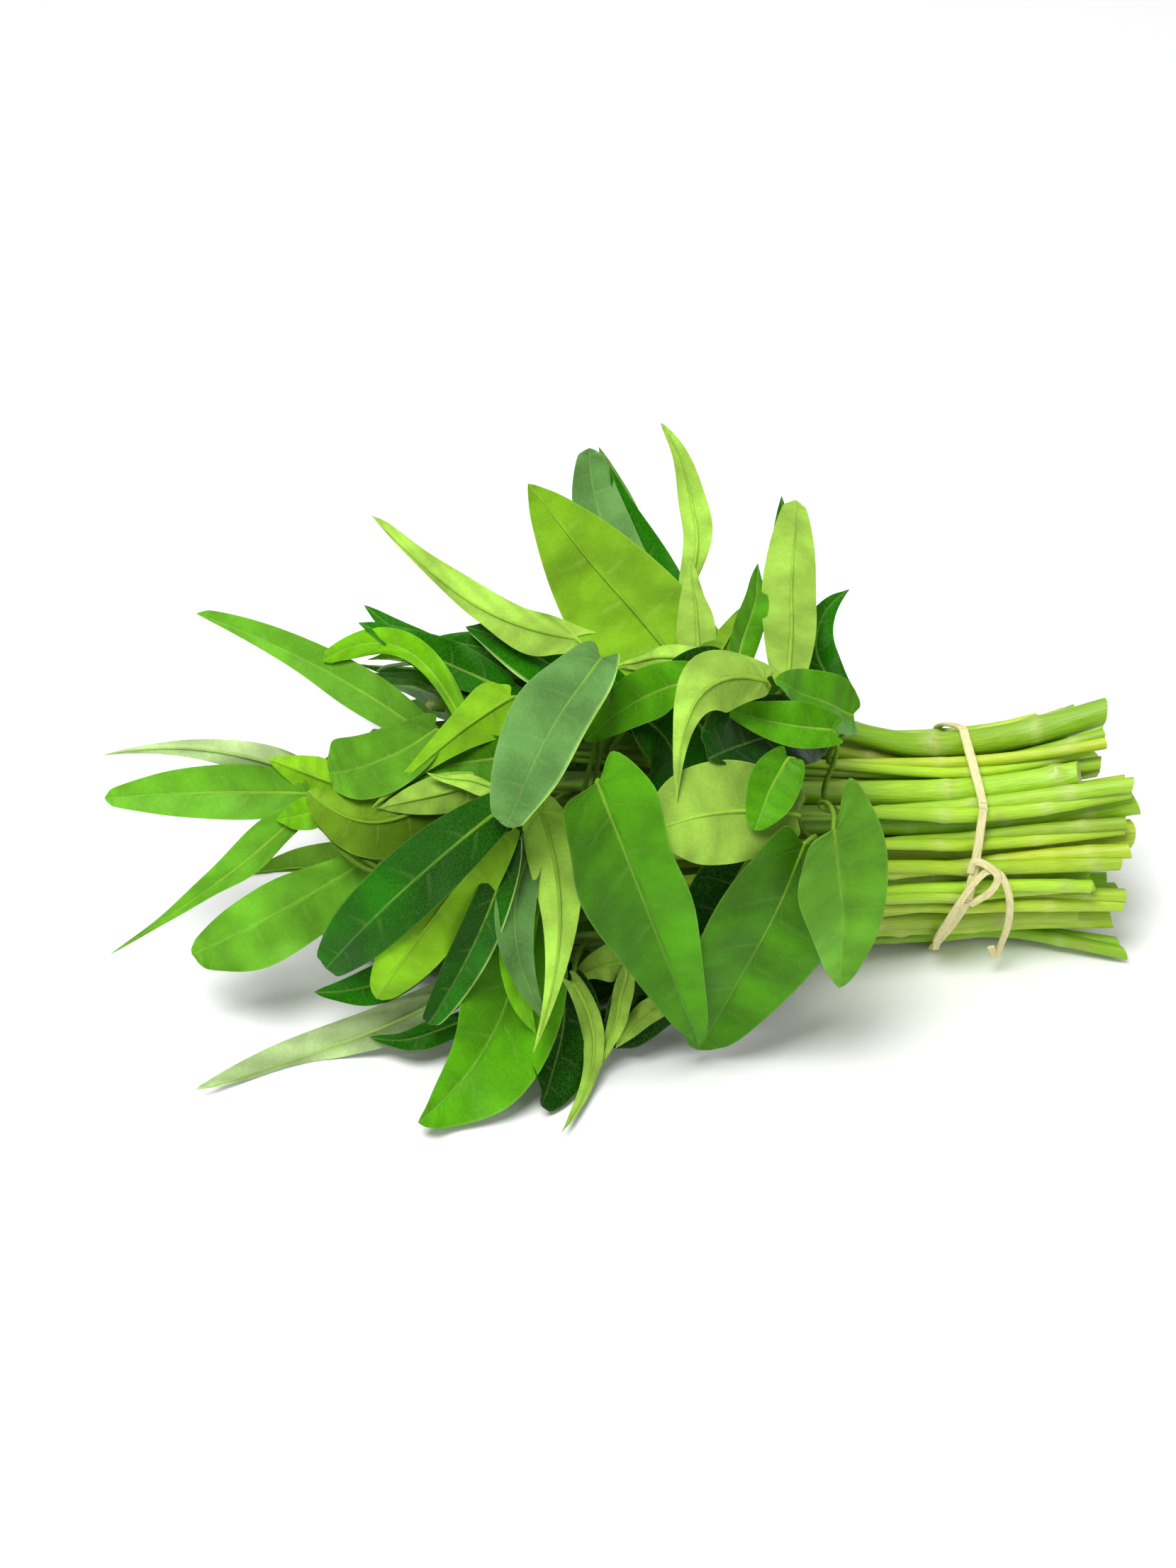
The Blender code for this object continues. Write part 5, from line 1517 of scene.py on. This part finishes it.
def leaf_material(name, rough, vein_light, vein_depth, shine, glow):
    """Leaf tissue: a tint with patches, partly uneven and partly painted light and shade, painted shade
    beside each lateral vein, light midrib and lateral veins, fine cells, some light through.
    """
    n = Nodes(name)
    tint, mark, where = n.painted()
    lateral, rib, apart = leaf_veins(n, mark, where)
    cells = n.add("ShaderNodeTexVoronoi", {"Vector": where, "Scale": 700.0}, feature="DISTANCE_TO_EDGE")
    net = n.range(cells.outputs["Distance"], 0.0, 0.12, 1.0, 0.0)

    # Painted light and shade: broad patches partly of uneven tint and partly painted light and shade; each
    # field between lateral veins painted lighter in its middle and shaded beside the veins
    patches_and_shade = n.range(n.noise(where, 48.0, 4.0), 0.3, 0.7, 0.76, 1.2)
    grain = n.range(n.noise(where, 900.0, 2.0), 0.3, 0.7, 0.95, 1.05)
    vein_field_shade = n.range(apart, 0.1, 0.45, 1.06, 0.93)
    colour = n.shaded(tint, n.math("MULTIPLY", n.math("MULTIPLY", patches_and_shade, grain), vein_field_shade))
    light = n.blend(0.62, colour, (*VEIN_TINT, 1))
    colour = n.blend(n.math("MULTIPLY", net, 0.10), colour, light)
    colour = n.blend(n.math("MULTIPLY", lateral, vein_light), colour, light)
    colour = n.blend(n.math("MULTIPLY", rib, min(1.0, vein_light * 1.7)), colour, light)
    colour = n.blend(n.range(mark[3], 0.95, 1.0, 0.0, 0.25), colour, light)

    height = n.math("MULTIPLY", n.math("MAXIMUM", lateral, rib), vein_depth)
    height = n.math("MULTIPLY_ADD", net, vein_depth * 0.12, height)
    height = n.math("MULTIPLY_ADD", n.noise(where, 320.0), 0.5, height)
    normal = n.bump(height, 0.35 * MM, 0.7)
    roughness = n.range(n.noise(where, 90.0), 0.3, 0.7, rough - 0.06, rough + 0.08)
    n.dress(colour, roughness, normal, shine)
    n.shader.inputs["Specular Tint"].default_value = (*SHEEN_TINT, 1)
    through = n.blend(1.0, colour, (*THROUGH_TINT, 1), "MULTIPLY")
    glowing = n.add("ShaderNodeBsdfTranslucent", {"Color": through, "Normal": normal})
    both = n.add("ShaderNodeMixShader", {0: glow, 1: n.shader.outputs[0], 2: glowing.outputs[0]})
    n.set(n.output.inputs["Surface"], both.outputs[0])
    return n.material


def stem_material():
    """Stem skin: fine lengthwise streaks, scars at the nodes, patches of brown, a waxy sheen."""
    n = Nodes("stem_skin")
    tint, mark, where = n.painted()
    streak = n.noise(n.lengthwise(mark, 0.02), 7.0, 4.0)
    colour = n.shaded(tint, n.range(streak, 0.3, 0.7, 0.84, 1.12))
    patch = n.range(n.noise(where, 38.0, 4.0), 0.3, 0.72, 0.0, 0.35)
    colour = n.blend(patch, colour, (*STEM_PATCH_TINT, 1))
    worn = n.range(n.noise(where, 75.0, 5.0), 0.62, 0.76, 0.0, 0.55)
    colour = n.blend(worn, colour, (*STEM_WORN_TINT, 1))
    scar = n.math("MULTIPLY", mark[3], n.range(n.noise(where, 420.0), 0.35, 0.65, 0.2, 0.75))
    colour = n.blend(scar, colour, (*SCAR_TINT, 1))
    height = n.math("MULTIPLY_ADD", n.noise(where, 600.0), 0.3, streak)
    n.dress(colour, n.range(streak, 0.3, 0.7, 0.3, 0.46), n.bump(height, 0.4 * MM, 0.5), 0.45)
    return n.material


def strip_material():
    """Dry plant strip: pale fibres along it, darker lines between them, a few brown flecks."""
    n = Nodes("dry_strip")
    tint, mark, where = n.painted()
    fibre = n.noise(n.lengthwise(mark, 0.06), 6.0, 5.0)
    colour = n.blend(n.range(fibre, 0.35, 0.6, 0.5, 0.0), tint, (*FIBRE_GAP_TINT, 1))
    fleck = n.range(n.noise(where, 260.0, 3.0), 0.64, 0.78, 0.0, 0.5)
    colour = n.blend(fleck, colour, (*FLECK_TINT, 1))
    n.dress(colour, n.range(fibre, 0.3, 0.7, 0.5, 0.72), n.bump(fibre, 0.5 * MM, 0.8), 0.35)
    return n.material


# The bunch


def backing_spec(push):
    """The leaf deep in the bunch: placed as a seen one is, but behind the others."""
    return {**seen_spec(BACKING_LEAF, push), "filler": True}


def dress_bunch():
    """One piece for each CAD node, built round the same layout."""
    shapes, leaves, space = lay_out()
    leaves.append(settle(backing_spec, BACKING_PUSHES, shapes, space))
    greens = [
        stem_material(),
        leaf_material("leaf_upper", rough=0.36, vein_light=0.13, vein_depth=-0.4, shine=0.12, glow=0.2),
        leaf_material("leaf_under", rough=0.55, vein_light=0.22, vein_depth=0.35, shine=0.1, glow=0.25),
    ]
    for number, shape in enumerate(shapes):
        growth = Growth()
        add_stem(growth, shape, number)
        for spec in leaves:
            if spec["stem"] == number:
                add_blade(growth, spec)
                add_stalk_and_rib(growth, spec)
        piece = growth.build(f"fresh_stem_{number + 1:02d}", greens)
        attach(piece, "root")
        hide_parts(f"leafy_stem_{number + 1:02d}")
    growth = Growth()
    add_tie(growth)
    tie = growth.build("strip_tie", [strip_material()])
    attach(tie, "root")
    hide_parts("tie")


# Scene

FLOOR_SIZE = 12.0
FLOOR_GREY = 0.93
SKY_STRENGTH = 0.32
LIGHT_AIM = Vector((0, 0, 0.05))
Light = namedtuple("Light", "name place size power")
LIGHTS = (
    Light("key", (-0.35, -0.5, 1.55), 0.8, 26),
    Light("fill", (0.9, -1.0, 0.9), 1.2, 4),
    Light("top", (0.1, 0.7, 1.3), 1.0, 6),
)
LENS_SENSOR = 36.0


def make_floor():
    n = Nodes("studio_floor")
    n.shader.inputs["Base Color"].default_value = (FLOOR_GREY, FLOOR_GREY, FLOOR_GREY, 1)
    n.shader.inputs["Roughness"].default_value = 0.9
    n.shader.inputs["Specular IOR Level"].default_value = 0.1
    half = FLOOR_SIZE / 2
    mesh = bpy.data.meshes.new("studio_floor")
    corners = [(-half, -half, 0), (half, -half, 0), (half, half, 0), (-half, half, 0)]
    mesh.from_pydata(corners, [], [(0, 1, 2, 3)])
    mesh.materials.append(n.material)
    floor = bpy.data.objects.new("studio_floor", mesh)
    bpy.context.scene.collection.objects.link(floor)


def make_light(light):
    lamp = bpy.data.lights.new(light.name, "AREA")
    lamp.shape = "DISK"
    lamp.size = light.size
    lamp.energy = light.power
    made = bpy.data.objects.new(light.name, lamp)
    made.location = light.place
    made.rotation_mode = "QUATERNION"
    made.rotation_quaternion = (LIGHT_AIM - Vector(light.place)).to_track_quat("-Z", "Y")
    bpy.context.scene.collection.objects.link(made)


def light_studio():
    world = bpy.data.worlds.new("studio")
    world.use_nodes = True
    sky = world.node_tree.nodes["Background"]
    sky.inputs["Color"].default_value = (1, 1, 1, 1)
    sky.inputs["Strength"].default_value = SKY_STRENGTH
    bpy.context.scene.world = world
    for light in LIGHTS:
        make_light(light)
    bpy.context.scene.view_settings.view_transform = "Standard"


def make_camera():
    """The photograph's view: its sensor's long side spans the photograph's height at the bunch."""
    lens = bpy.data.cameras.new("camera")
    lens.sensor_width = LENS_SENSOR
    lens.lens = LENS_SENSOR * VIEW_DISTANCE / (PHOTO_HEIGHT * PIXEL)
    lens.clip_start = 0.01
    camera = bpy.data.objects.new("camera", lens)
    turned = Matrix((RIGHT, UP, BACK)).transposed().to_4x4()
    camera.matrix_world = Matrix.Translation(VIEWER + HOME) @ turned
    bpy.context.scene.collection.objects.link(camera)
    bpy.context.scene.camera = camera


dress_bunch()
make_floor()
light_studio()
make_camera()
